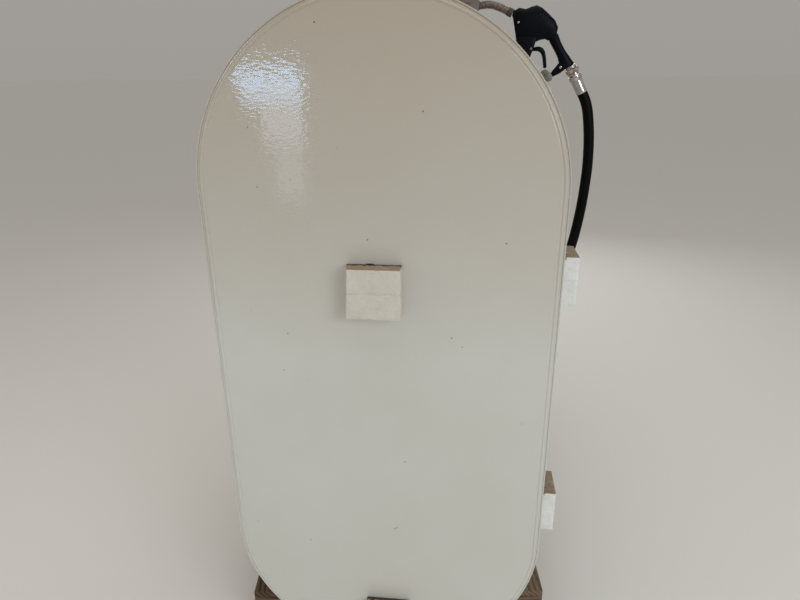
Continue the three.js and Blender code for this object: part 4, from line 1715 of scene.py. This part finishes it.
@dataclass
class PumpHousing(SubAssembly):
    """The pump's sheet-metal box on the ridge, with a lid, a door, and the hose outlet on its back."""

    oval: Oval = Oval()
    left: float = -100
    right: float = 180
    depth: float = 220
    top: float = 1700
    arc_steps: int = 36
    fold: float = 2.0
    lid_over: float = 8
    lid_thick: float = 14
    lid_fold: float = 2.5
    lid_rim: float = 14
    lid_screws: Point3 = (-60, 40, 140)  # their x on the front and back
    side_screw: float = 60  # their y on both sides
    screw_head: tuple[Point2, ...] = ((0, 0), (5.2, 0), (5.2, 0.8), (4.2, 2.2), (2.2, 2.9), (0, 3.0))
    door_margin: float = 18
    door_thick: float = 2.2
    door_low: float = 1530
    door_corner: float = 8
    hinge_inset: float = 28
    hinge_pin: tuple[Point2, ...] = ((0, 0), (2.6, 0), (3.2, 0.6), (3.2, 31.4), (2.6, 32), (0, 32))
    lock_face: tuple[Point2, ...] = (
        (0, 0), (11, 0), (11, 1.2), (9.5, 2.4), (8.8, 2.4), (8.4, 1.6), (0, 1.6),
    )
    louvres: int = 5
    louvre_pitch: float = 11
    louvre_run: Point2 = (26, 96)  # from the housing's left side
    outlet: Point2 = (90, 1580)
    outlet_radius: float = 20
    outlet_length: float = 26

    @property
    def back(self) -> float:
        """The y of the housing's back."""
        return self.depth / 2

    def build(self) -> None:
        """Folds the box and lid, and hangs the door and fittings."""
        run = self.right - self.left
        steps = [self.left + run * i / self.arc_steps for i in range(self.arc_steps + 1)]
        outline = [(self.left, self.top), (self.right, self.top)]
        outline += [(x, self.oval.surface(x, FIT_GAP)) for x in reversed(steps)]
        bm = bmesh.new()
        plate(bm, outline, -self.back, self.back, self.fold)
        self.piece("folded_housing", bm, HOUSING_PAINT, ["pump_housing"])
        self.lid()
        self.door()
        self.fixings()
        self.vents()
        place = aimed(Vector((self.outlet[0], self.back + FIT_GAP, self.outlet[1])), Vector((0, 1, 0)))
        bm = bmesh.new()
        hexagon(bm, self.outlet_radius, 5, self.outlet_length, place)
        r = self.outlet_radius
        turned(bm, [(0, 0), (r - 2, 0), (r, 1), (r, 4), (r - 2, 5), (0, 5)], place, 48)
        self.piece("outlet_union", bm, ZINC, ["hose_outlet"])

    def lid(self) -> None:
        """Folds the lid, and insets and pokes its flat top."""
        over, low = self.lid_over, self.top + FIT_GAP
        left, right = self.left - over, self.right + over
        back, top = self.back + over, low + self.lid_thick
        bm = bmesh.new()
        block(bm, (left, -back, low), (right, back, top), self.lid_fold, 3)
        crown = [f for f in bm.faces if f.calc_center_median().z > top - 0.1]
        bmesh.ops.inset_region(bm, faces=crown, thickness=self.lid_rim, depth=0)
        bmesh.ops.poke(bm, faces=crown, offset=0)
        self.piece("folded_lid", bm, HOUSING_PAINT, ["pump_housing_lid"], crease=25)

    def door(self) -> None:
        """Hangs the service door on two hinges, with a round lock."""
        left, right = self.left + self.door_margin, self.right - self.door_margin
        low, high, back = self.door_low, self.top - self.door_margin, self.back
        corners = [(left, low), (right, low), (right, high), (left, high)]
        bm = bmesh.new()
        plate(bm, eased(corners, self.door_corner, closed=True), -back - self.door_thick, -back)
        self.piece("service_door", bm, HOUSING_PAINT)
        bm = bmesh.new()
        for z in (low + self.hinge_inset, high - self.hinge_inset):
            pin = aimed(Vector((left - 3, -back - 3, z - 16)), Vector((0, 0, 1)))
            turned(bm, self.hinge_pin, pin, 20)
            block(bm, (left - 12, -back - 1.6, z - 12), (left + 12, -back, z + 12), 0.5)
        lock = aimed(Vector((right - 16, -back - self.door_thick, (low + high) / 2)), Vector((0, -1, 0)))
        turned(bm, self.lock_face, lock, 32)
        block(bm, (-0.9, -4.2, 1.6), (0.9, 4.2, 2.1), 0, matrix=lock)
        self.piece("door_hinges_and_lock", bm, ZINC)

    def fixings(self) -> None:
        """Screws the lid down on all four sides."""
        bm = bmesh.new()
        level = self.top + FIT_GAP + self.lid_thick / 2
        for side in (-1, 1):
            for x in self.lid_screws:
                spot = Vector((x, side * (self.back + self.lid_over), level))
                turned(bm, self.screw_head, aimed(spot, Vector((0, side, 0))), 24)
        for x, side in ((self.left - self.lid_over, -1), (self.right + self.lid_over, 1)):
            for y in (-self.side_screw, self.side_screw):
                turned(bm, self.screw_head, aimed(Vector((x, y, level)), Vector((side, 0, 0))), 24)
        self.piece("lid_screws", bm, ZINC)

    def vents(self) -> None:
        """Sets the cooling louvres on the housing's back."""
        bm = bmesh.new()
        start, stop = self.louvre_run
        spun = Matrix.Translation((0, self.back, 0)) @ Matrix.Rotation(-math.pi / 2, 4, "Z")
        for row in range(self.louvres):
            z = self.top - 40 - row * self.louvre_pitch
            vane = [(0, z), (-4.2, z - 3.4), (-4.2, z - 4.8), (0, z - 4.8)]
            made = plate(bm, vane, self.left + start, self.left + stop, 0.3)
            bmesh.ops.transform(bm, matrix=spun, verts=made)
        self.piece("cooling_louvres", bm, HOUSING_PAINT)


@dataclass
class Nozzle(SubAssembly):
    """The hand nozzle: cast body in a moulded cover, grip, guard, lever, spout and swivel."""

    plane: float = -60
    body_width: float = 42
    slot_half: float = 10.4
    cheek_gap: float = 1  # how far a cheek stands inside the body's width
    # The body from the spout to the grip, each section with its upper edge, lower edge and width.
    body_rungs: tuple[Rung, ...] = (
        Rung((276.6, 1517.9), (270.5, 1499), 30),
        Rung((289, 1521), (277, 1481), 36),
        Rung((308, 1517.5), (282.5, 1456), 40),
        Rung((322, 1523), (286, 1436), 42),
        Rung((337, 1526.8), (316, 1431), 42),
        Rung((352, 1520), (339, 1433), 42),
        Rung((368.4, 1506.5), (352, 1438.5), 41),
        Rung((388.7, 1488.5), (365, 1440.5), 38),
        Rung((398, 1470.7), (374, 1436.5), 36),
        Rung((396.8, 1453.2), (377, 1435.8), 34),
    )
    # A cheek's (left, right, height) from the body down. The last one's right end is lower.
    cheek_rows: tuple[Point3, ...] = (
        (287, 341.4, 1446), (291.5, 335.5, 1421), (299, 330, 1405), (305, 326, 1394), (308, 321, 1387),
    )
    cheek_toe: Point2 = (0.6, 2)  # how much lower and narrower the last one is
    bridge_width: float = 30
    web_rows: tuple[Point3, ...] = ((290, 311, 1441), (296, 311, 1415), (303, 312, 1396))
    toe_rungs: tuple[Rung, ...] = (
        Rung((302, 1400.5), (328, 1400.5), 30),
        Rung((306, 1392), (325, 1392), 30),
        Rung((309, 1387), (320, 1386.6), 26),
    )
    grip_rungs: tuple[Rung, ...] = (
        Rung((398.5, 1456), (375, 1438), 33),
        Rung((409.5, 1432), (386, 1421), 34),
        Rung((422, 1411.7), (395.3, 1406.9), 34),
        Rung((437, 1393.5), (403.5, 1392), 34),
        Rung((447, 1381), (409, 1373), 34),
        Rung((450.5, 1376.7), (411.5, 1355.2), 34),
    )
    arm_rungs: tuple[Rung, ...] = (
        Rung((414, 1386), (428, 1363), 27),
        Rung((402, 1372), (412, 1350.5), 25),
        Rung((386.8, 1353.4), (394, 1341.5), 22),
    )
    guard_width: float = 18
    strap: tuple[Point2, ...] = (
        (307, 1390.6), (316, 1389.2), (327, 1371), (343, 1357.5), (360.3, 1351), (360.3, 1344.5),
        (339, 1351), (319, 1366.5),
    )
    clip_width: float = 24
    clip: tuple[Point2, ...] = (
        (360.2, 1355.8), (366, 1361), (374, 1362), (387.5, 1351.7), (391.6, 1343.7), (391, 1334),
        (382, 1328.5), (367, 1335), (360.6, 1343.4),
    )
    clip_rivet: Point2 = (374.5, 1348)
    rivet_head: tuple[Point2, ...] = ((0, 0), (4.4, 0), (4.4, 1.2), (3.4, 2.2), (0, 2.4))
    lever_width: float = 16
    # The lever's bar: out along its upper edge, round its tip, and back along its lower edge.
    lever_bar: tuple[Point2, ...] = (
        (332, 1418), (340.5, 1421.5), (351.5, 1422), (361.5, 1417.2), (367.6, 1408), (371.6, 1390),
        (374.6, 1366), (366.6, 1364.4), (362.2, 1389), (359.4, 1400), (353.6, 1407.8), (345.5, 1410),
        (333, 1410),
    )
    pivot: Point2 = (327, 1416)
    eye_radius: float = 8
    eye_hole: float = 4.1
    pin_radius: float = 3.5
    pin_inset: float = 0.4
    tube_radius: float = 8.7
    spout_line: tuple[Point2, ...] = (
        (271.7, 1507), (256, 1514.5), (241, 1521), (227, 1526.5), (213, 1529.8), (199, 1530.4),
        (186, 1529), (170, 1525.6), (152, 1521), (134, 1516.3),
    )
    spout_step: float = 2.0
    wire: float = 1.4
    spring_start: int = 5  # the spring's first and last point on the spout's line
    spring_stop: int = 58
    spring_pitch: float = 4.4
    spring_facets: int = 14
    collar_at: tuple[int, int, int] = (5, 6, 8)  # points of the line: its way out, middle, way in
    collar: tuple[Point2, ...] = (
        (0, -4), (9.4, -4), (10.6, -3), (11.4, 0), (11.6, 4), (11.6, 12), (0, 12),
    )
    swivel_start: Point2 = (440, 1371)
    swivel_axis: Point2 = (0.477, -0.879)
    nut_radius: float = 19
    nut_length: float = 28
    nut_flats: Point2 = (8.5, 20)
    screws: tuple[tuple[Point2, float, float], ...] = (  # (place, how far out from the plane, radius)
        ((288.3, 1483.3), 18.4, 3.2),
        ((411.8, 1367.3), 14.6, 4.0),
    )

    def build(self) -> None:
        """Makes the nozzle from the spout to the swivel."""
        self.spout()
        self.body()
        self.grip()
        self.guard()
        self.latch()
        self.lever()
        self.swivel()
        self.fixings()

    def at(self, point: Point2, y: float = 0.0) -> Vector:
        """Gives a point of the nozzle's plane, or a little off it, in the tank's frame."""
        return Vector((point[0], self.plane + y, point[1]))

    def across(
        self, outline: Sequence[Point2], corner: float, width: float, bevel: float
    ) -> BMesh:
        """Cuts a bar with rounded corners that lies across the nozzle's plane.

        Args:
            outline: its corners.
            corner: how far from a corner its round starts.
            width: its width across the plane.
            bevel: how far its sharp edges are broken.

        Returns:
            The mesh.
        """
        bm = bmesh.new()
        low, high = self.plane - width / 2, self.plane + width / 2
        plate(bm, eased(outline, corner, closed=True), low, high, bevel)
        return bm

    def spout(self) -> None:
        """Bends the spout, winds its hold-in spring and adds the collar."""
        line = flowing([self.at(p) for p in self.spout_line], self.spout_step)
        bm = bmesh.new()
        swept(bm, line, self.tube_radius, 24)
        self.piece("bent_spout", bm, SPOUT_STEEL, ["nozzle_spout"])
        bm = bmesh.new()
        swept(bm, self.coil(line), self.wire, 8)
        self.piece("spout_spring", bm, SPOUT_STEEL, crease=80)
        bm = bmesh.new()
        outward, middle, inward = (line[i] for i in self.collar_at)
        turned(bm, self.collar, aimed(middle, (outward - inward).normalized()), 40)
        self.piece("spout_collar", bm, SOOTED_COLLAR)

    def coil(self, line: Sequence[Vector]) -> list[Vector]:
        """Winds the spring round the spout.

        Args:
            line: the spout's middle line.

        Returns:
            The wire's middle line.
        """
        start, stop = self.spring_start, self.spring_stop
        run = sum((b - a).length for a, b in zip(line[start:stop], line[start + 1 : stop + 1]))
        steps = round(run / self.spring_pitch * self.spring_facets)
        out = self.tube_radius + self.wire * 0.7
        side = Vector((0, 1, 0))
        path = []
        for i in range(steps):
            along = start + (stop - start) * i / steps
            here, there = line[int(along)], line[int(along) + 1]
            up = side.cross((there - here).normalized())
            turn = math.tau * i / self.spring_facets
            path.append(here.lerp(there, along % 1) + (side * math.cos(turn) + up * math.sin(turn)) * out)
        return path

    def body(self) -> None:
        """Moulds the body over the valve, and the cheeks that carry the lever's pin."""
        bm = bmesh.new()
        moulded(bm, self.body_rungs, self.plane, 4.0)
        thick = self.body_width / 2 - self.cheek_gap - self.slot_half
        lower, narrower = self.cheek_toe
        rows = [Rung((left, z), (right, z), thick) for left, right, z in self.cheek_rows]
        left, right, z = self.cheek_rows[-1]
        rows[-1] = Rung((left, z), (right, z - lower), thick - narrower)
        for side in (-1, 1):
            moulded(bm, rows, self.plane + side * (self.slot_half + thick / 2), 2.0, 4.0)
        web = [Rung((left, z), (right, z), self.bridge_width) for left, right, z in self.web_rows]
        for bridge in (web, self.toe_rungs):
            moulded(bm, bridge, self.plane, 1.5, 5.0)
        self.piece("moulded_body", bm, MOULDED_COVER, ["nozzle_body"], crease=60)

    def grip(self) -> None:
        """Moulds the grip, and the arm at its lower end."""
        bm = bmesh.new()
        moulded(bm, self.grip_rungs, self.plane, 3.0, 2.7)
        moulded(bm, self.arm_rungs, self.plane, 2.0, 3.5)
        self.piece("moulded_grip", bm, MOULDED_COVER, ["nozzle_grip"], crease=60)

    def guard(self) -> None:
        """Bends the strap that guards the lever."""
        bm = self.across(self.strap, 9, self.guard_width, 1.8)
        self.piece("guard_strap", bm, MOULDED_COVER, ["nozzle_guard"], crease=40)

    def latch(self) -> None:
        """Casts the latch clip at the strap's lower end, with its rivet's heads."""
        bm = self.across(self.clip, 3, self.clip_width, 1.2)
        for side in (-1, 1):
            place = aimed(self.at(self.clip_rivet, side * self.clip_width / 2), Vector((0, side, 0)))
            turned(bm, self.rivet_head, place, 24)
        self.piece("latch_block", bm, ZINC_CASTING, ["nozzle_latch_clip"])

    def lever(self) -> None:
        """Bends the lever with its eye, and drives the pin that it turns on."""
        bm = self.across(self.lever_bar, 4, self.lever_width, 1.6)
        inner, outer, long = self.eye_hole, self.eye_radius, self.lever_width
        eye = (
            (inner, 0.5), (inner + 0.5, 0), (outer - 1, 0), (outer, 1), (outer, long - 1),
            (outer - 1, long), (inner + 0.5, long), (inner, long - 0.5),
        )
        turned(bm, eye, aimed(self.at(self.pivot, -long / 2), Vector((0, 1, 0))), 40)
        self.piece("squeeze_lever", bm, MOULDED_COVER, ["nozzle_lever"], Body.LEVER)
        bm = bmesh.new()
        reach, r = self.body_width / 2 - self.pin_inset, self.pin_radius
        long = 2 * reach
        pin = [(0, 0), (r - 0.8, 0), (r, 0.8), (r, long - 0.8), (r - 0.8, long), (0, long)]
        turned(bm, pin, aimed(self.at(self.pivot, -reach), Vector((0, 1, 0))), 32)
        self.piece("lever_pin", bm, ZINC_CASTING)

    def swivel(self) -> None:
        """Makes the hexagon swivel between the grip and the hose's ferrule."""
        axis = Vector((self.swivel_axis[0], 0, self.swivel_axis[1])).normalized()
        place = aimed(self.at(self.swivel_start) + axis * FIT_GAP, axis)
        r, long = self.nut_radius, self.nut_length
        low, high = self.nut_flats
        bm = bmesh.new()
        union = (
            (0, 0), (r - 5, 0), (r - 4, 1), (r - 4, 3), (r - 2, 4), (r - 2, 7), (r - 5, 8), (r - 5, high),
            (r - 3, high + 1), (r - 3, long - 1), (r - 4, long), (0, long),
        )
        turned(bm, union, place, 48)
        hexagon(bm, r, low, high, place, 1.6)
        self.piece("swivel_union", bm, WORN_PLATE, ["nozzle_swivel"])

    def fixings(self) -> None:
        """Sets the cover's screws and rivets on both sides."""
        bm = bmesh.new()
        for side in (-1, 1):
            for spot, out, r in self.screws:
                place = aimed(self.at(spot, side * out), Vector((0, side, 0)))
                turned(bm, [(0, 0), (r, 0), (r, 1.2), (r - 1, 2.4), (0, 2.9)], place, 24)
        self.piece("cover_screws", bm, CHROME)


@dataclass
class DispensingHose(SubAssembly):
    """A 3/4 inch fuel hose in one hanging loop, with a crimped ferrule at each end."""

    radius: float = 14.75
    lead: float = 20
    outlet: Point3 = (90, 136.6, 1580)  # the outlet's face, with the fit gap
    ferrule_radius: float = 17
    ferrule_length: float = 54
    nose: float = 14  # the ferrule's plain part, next to its fitting
    crimp_radius: float = 15.4  # where the ferrule grips the hose
    crimp_rings: int = 4
    crest: float = 0.45  # how far a crimp's ring stands out
    end_axis: Point2 = (0.477, -0.879)
    end_start: Point3 = (453.6, -60, 1345.9)
    sides: int = 32
    step: float = 8
    route: tuple[Point3, ...] = (
        (94, 246, 1576.5), (108, 284, 1563), (130, 314, 1541), (156, 331, 1515.5), (197, 343, 1472),
        (240, 349.5, 1428.5), (283, 352.5, 1383), (318.5, 353, 1332.5), (345, 351, 1275),
        (362, 347, 1214), (368, 342, 1130), (368, 337, 1020), (368, 332, 900), (368, 327, 780),
        (369, 321, 660), (371, 315, 540), (374, 308, 420), (379, 298, 300), (383, 288, 220),
        (385, 276, 150), (387, 261, 107), (389, 232, 72), (391.5, 194, 50.5), (394, 151, 43),
        (396.5, 108, 50.5), (399, 70, 72), (401, 41, 107), (403, 28, 139), (407, 8, 215),
        (411, -10, 290), (418, -26.5, 370), (427, -42, 480), (438, -52, 590), (454, -58, 690),
        (474, -60, 780), (494, -60, 868), (507, -60, 960), (513, -60, 1040), (514.5, -60, 1100),
        (511, -60, 1170), (504.5, -60, 1222), (497.5, -60, 1257),
    )

    def build(self) -> None:
        out = Vector((0, 1, 0))
        down = Vector((self.end_axis[0], 0, self.end_axis[1])).normalized()
        pump, nozzle = Vector(self.outlet), Vector(self.end_start)
        ferrules = [self.ferrule("pump", pump, out), self.ferrule("nozzle", nozzle, down)]
        start = pump + out * (self.ferrule_length + FIT_GAP)
        end = nozzle + down * (self.ferrule_length + FIT_GAP)
        points = [start, start + out * self.lead, *map(Vector, self.route), end + down * self.lead, end]
        line = flowing(points, self.step)
        bm = bmesh.new()
        swept(bm, line, self.radius, self.sides)
        hose = self.piece("fuel_hose", bm, HOSE_RUBBER, ["dispensing_hose"], crease=80)

    def ferrule(self, name: str, start: Vector, axis: Vector) -> bpy.types.Object:
        """Turns one ferrule with the rings of its crimp.

        Args:
            name: the end that it is on.
            start: where it leaves its fitting.
            axis: the way that the hose runs.

        Returns:
            The piece.
        """
        r, long, nose, grip = self.ferrule_radius, self.ferrule_length, self.nose, self.crimp_radius
        profile = [(0.0, 0.0), (r - 0.2, 0.0), (r + 1.2, 1.4), (r + 1.2, nose - 3), (r - 0.4, nose)]
        pitch = (long - nose - 4) / self.crimp_rings
        for ring in range(self.crimp_rings):
            low, top = nose + 1.5 + ring * pitch, grip + self.crest
            profile += [(grip, low), (top, low + pitch * 0.2), (top, low + pitch * 0.65)]
        profile += [(grip, long - 2.6), (grip + 0.8, long - 1.5), (grip, long), (0.0, long)]
        bm = bmesh.new()
        turned(bm, profile, aimed(start, axis), 48)
        return self.piece(f"crimped_ferrule_{name}", bm, CHROME, [f"hose_ferrule_{name}"], crease=30)


# Pallet


@dataclass
class Pallet(SubAssembly):
    """A softwood pallet: bottom boards, blocks under cross boards, and five deck boards."""

    width: float = 840
    length: float = 1200
    board: float = 22
    block_height: float = 78
    bearer_depth: float = 145
    side_block: float = 100
    middle_block: float = 145
    deck_widths: tuple[float, ...] = (145, 100, 145, 100, 145)
    # How dark each deck board is, from the left: partly damp, and partly painted shade that makes the
    # left boards darker than the right.
    deck_damp_and_shade: tuple[float, ...] = (0.5, 0.3, 0.15, 0.35, 0.0)
    frame_damp: float = 0.2
    corner: float = 1.8
    rough: float = 1.1
    lump: float = 26
    pitch: float = 14
    nail_head: tuple[Point2, ...] = ((0, -1), (4.2, -1), (4.2, 0.1), (3.5, 0.5), (0, 0.4))
    nail_inset: float = 28  # from a board's edge
    nail_stagger: float = 24
    nail_wobble: float = 9

    @property
    def deck_low(self) -> float:
        """The height of the deck boards' underside."""
        return self.board * 2 + self.block_height

    @property
    def rows(self) -> tuple[tuple[str, float], ...]:
        """Each bearer's name and the y of its middle."""
        reach = (self.length - self.bearer_depth) / 2
        return ("front", -reach), ("middle", 0), ("rear", reach)

    @property
    def columns(self) -> tuple[tuple[str, float, float], ...]:
        """The bottom boards across the pallet.

        Returns:
            Each one's name, and the x of its left and right edge.
        """
        half, middle = self.width / 2, self.middle_block / 2
        inner = half - self.side_block
        return ("left", -half, -inner), ("middle", -middle, middle), ("right", inner, half)

    def build(self) -> None:
        """Nails the pallet together from the ground up."""
        end = self.length / 2
        for name, low, high in self.columns:
            bm = bmesh.new()
            self.timber(bm, (low, -end, 0), (high, end, self.board), self.frame_damp)
            node = f"pallet_bottom_board_{name}"
            self.piece(f"bottom_runner_{name}", bm, PINE_ALONG, [node], crease=60)
        for name, y in self.rows:
            self.bearer(name, y)
        self.deck()

    def bearer(self, name: str, y: float) -> None:
        """Lays one cross board on its three blocks.

        Args:
            name: the row that it is in.
            y: its middle.
        """
        bm = bmesh.new()
        half, deep, damp_and_shade = self.width / 2, self.bearer_depth / 2, self.frame_damp
        block_top = self.board + self.block_height
        for _, low, high in self.columns:
            foot, head = (low, y - deep, self.board + FIT_GAP), (high, y + deep, block_top - FIT_GAP)
            self.timber(bm, foot, head, damp_and_shade)
        top = block_top + self.board - FIT_GAP
        self.timber(bm, (-half, y - deep, block_top), (half, y + deep, top), damp_and_shade)
        node = f"pallet_bearer_{name}"
        self.piece(f"blocks_and_cross_board_{name}", bm, PINE_ACROSS, [node], crease=60)

    def deck(self) -> None:
        """Lays the deck boards and nails each to every bearer."""
        gap = (self.width - sum(self.deck_widths)) / (len(self.deck_widths) - 1)
        edge, end, low = -self.width / 2, self.length / 2, self.deck_low
        nails = bmesh.new()
        for number, (wide, damp_and_shade) in enumerate(zip(self.deck_widths, self.deck_damp_and_shade), 1):
            bm = bmesh.new()
            self.timber(bm, (edge, -end, low), (edge + wide, end, low + self.board), damp_and_shade)
            self.piece(f"deck_plank_{number}", bm, PINE_ALONG, [f"pallet_deck_board_{number}"], crease=60)
            for _, y in self.rows:
                self.nail(nails, edge, wide, y)
            edge += wide + gap
        self.piece("deck_nails", nails, ZINC)

    def nail(self, bm: BMesh, edge: float, wide: float, y: float) -> None:
        """Drives two nails through a deck board into one bearer.

        Args:
            bm: the mesh to add to.
            edge: the board's left edge.
            wide: its width.
            y: the bearer's middle.
        """
        for side in (-1, 1):
            wobble = self.nail_wobble * noise.noise(Vector((edge * 0.1, y * 0.013, side)))
            x = edge + wide / 2 + side * (wide / 2 - self.nail_inset) + wobble
            along = y + side * self.nail_stagger + wobble
            spot = Matrix.Translation((x, along, self.deck_low + self.board))
            turned(bm, self.nail_head, spot, 14)

    def timber(self, bm: BMesh, low: Point3, high: Point3, damp_and_shade: float) -> None:
        """Saws one board or block, with its own place in the grain.

        Args:
            bm: the mesh to add to.
            low: its lowest corner.
            high: its highest corner.
            damp_and_shade: how dark it is, from damp and painted shade, from 0 to 1.
        """
        seed = low[0] * 0.37 + low[1] * 0.11 + low[2]
        sawn = bmesh.new()
        layer = sawn.verts.layers.float_vector.new("board")
        own = Vector((seed * 0.013, seed * 0.029, damp_and_shade))
        pitch = (self.pitch, self.pitch, self.board / 3)
        for vert in slab(sawn, low, high, pitch, self.corner, self.rough, self.lump, seed):
            vert[layer] = own
        mesh = bpy.data.meshes.new("sawn")
        sawn.to_mesh(mesh)
        sawn.free()
        bm.from_mesh(mesh)
        bpy.data.meshes.remove(mesh)


# Studio


@dataclass(frozen=True)
class Panel:
    """A softbox.

    Attributes:
        name: what it is for.
        place: its middle, in metres.
        target: the point that it looks at.
        size: its width and height.
        watts: its power.
        colour: its light.
    """

    name: str
    place: Point3
    target: Point3
    size: Point2
    watts: float
    colour: str


@dataclass
class Studio:
    """Plain pale floor, soft panels and the photograph's viewpoint."""

    eye: Point3 = (0.230, -1.925, 1.560)
    lens: float = 27.2
    sensor: float = 36.0
    pitch_down: float = 20.89
    yaw_left: float = 6.54
    roll: float = -0.53
    floor_size: float = 240.0
    floor_colour: str = "#EEEDEA"
    floor_roughness: float = 0.75
    sky_colour: str = "#E6E2DB"
    horizon_strength: float = 0.435
    zenith_strength: float = 0.50
    panels: tuple[Panel, ...] = (
        Panel("window", (-0.995, -3.50, 1.525), (-0.995, 0, 1.525), (0.43, 0.10), 1.5, "#ACD6FF"),
        Panel("window_sill", (-0.975, -3.51, 1.42), (-0.975, 0, 1.42), (0.39, 0.11), 0.85, "#C4E0FF"),
        Panel("glow_upper", (-0.93, -3.52, 1.24), (-0.93, 0, 1.24), (0.27, 0.22), 0.62, "#DCE9FF"),
        Panel("glow_lower", (-0.91, -3.54, 0.94), (-0.91, 0, 0.94), (0.19, 0.33), 0.30, "#E6EEFF"),
        Panel("key", (2.7, -3.6, 2.4), (0.2, -0.6, 0.6), (2.2, 1.6), 46, "#F6F8FF"),
        Panel("fill", (-2.8, -2.6, 1.6), (0.0, 0.0, 0.9), (1.8, 2.2), 10, "#FFF1E2"),
        Panel("overhead", (0.0, -0.5, 3.8), (0.0, 0.0, 0.0), (3.0, 3.0), 24, "#FFF8F0"),
        Panel("rear", (0.6, 3.6, 2.2), (0.0, 0.0, 0.9), (2.0, 1.6), 20, "#FFFFFF"),
    )

    def camera(self) -> None:
        """Stands the camera where the photograph was taken from."""
        data = bpy.data.cameras.new("viewpoint")
        data.lens = self.lens
        data.sensor_width = self.sensor
        data.sensor_fit = "HORIZONTAL"
        made = bpy.data.objects.new("viewpoint", data)
        turns = (
            Matrix.Rotation(math.radians(self.yaw_left), 4, "Z")
            @ Matrix.Rotation(math.radians(90 - self.pitch_down), 4, "X")
            @ Matrix.Rotation(math.radians(self.roll), 4, "Z")
        )
        made.matrix_world = Matrix.Translation(self.eye) @ turns
        bpy.context.scene.collection.objects.link(made)
        bpy.context.scene.camera = made

    def lights(self) -> None:
        """Hangs the panels, and shows colours as they are lit."""
        for panel in self.panels:
            data = bpy.data.lights.new(panel.name, "AREA")
            data.shape = "RECTANGLE"
            data.size, data.size_y = panel.size
            data.energy = panel.watts
            data.color = linear(panel.colour)[:3]
            made = bpy.data.objects.new(panel.name, data)
            look = Vector(panel.target) - Vector(panel.place)
            turn = look.to_track_quat("-Z", "Z").to_matrix().to_4x4()
            made.matrix_world = Matrix.Translation(panel.place) @ turn
            made.visible_camera = False
            bpy.context.scene.collection.objects.link(made)
        bpy.context.scene.view_settings.view_transform = "Standard"

    def air(self) -> None:
        """Lights the air from all round, dimmer at the horizon so that the floor runs into it."""
        world = bpy.data.worlds.new("air")
        world.use_nodes = True
        tree = world.node_tree
        tree.nodes.clear()
        way = add_node(tree, "TexCoord").outputs["Generated"]
        rise = add_node(tree, "SeparateXYZ", {"Vector": way}).outputs["Z"]
        low, high = self.horizon_strength, self.zenith_strength
        brightness = {"Value": rise, "From Max": 0.5, "To Min": low, "To Max": high}
        strength = add_node(tree, "MapRange", brightness)
        glow = add_node(tree, "Background", {"Color": self.sky_colour, "Strength": strength})
        add_node(tree, "OutputWorld", {"Surface": glow})
        bpy.context.scene.world = world

    def floor(self) -> None:
        """Lays a plain pale floor."""
        bm = bmesh.new()
        bmesh.ops.create_grid(bm, x_segments=2, y_segments=2, size=self.floor_size / 2)
        mesh = bpy.data.meshes.new("studio_floor")
        bm.to_mesh(mesh)
        bm.free()
        pale = bpy.data.materials.new("painted_floor")
        pale.use_nodes = True
        tree = pale.node_tree
        tree.nodes.clear()
        paint = {"Base Color": self.floor_colour, "Roughness": self.floor_roughness}
        add_node(tree, "OutputMaterial", {"Surface": add_node(tree, "BsdfPrincipled", paint)})
        mesh.materials.append(pale)
        made = bpy.data.objects.new("studio_floor", mesh)
        bpy.context.scene.collection.objects.link(made)


def main() -> None:
    """Loads the frame, and builds the studio and every sub-assembly."""
    logging.basicConfig(level=logging.INFO, format="%(name)s: %(message)s")
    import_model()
    low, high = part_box("shell_bottom_round")
    foot = Vector(((low.x + high.x) / 2, (low.y + high.y) / 2, low.z))
    in_tank = Matrix.Translation(foot) @ Matrix.Scale(MM, 4)
    in_pallet = Matrix.Rotation(math.radians(PALLET_TURN), 4, "Z") @ Matrix.Scale(MM, 4)
    studio = Studio()
    studio.camera()
    for part in (
        DispensingHose, TankShell, Saddles, FoamPads, TopFittings, LiftingLugs, PumpHousing, Nozzle,
    ):
        part(in_tank).build()
    Pallet(in_pallet).build()
    studio.lights()
    studio.air()
    studio.floor()


if __name__ == "__main__":
    main()
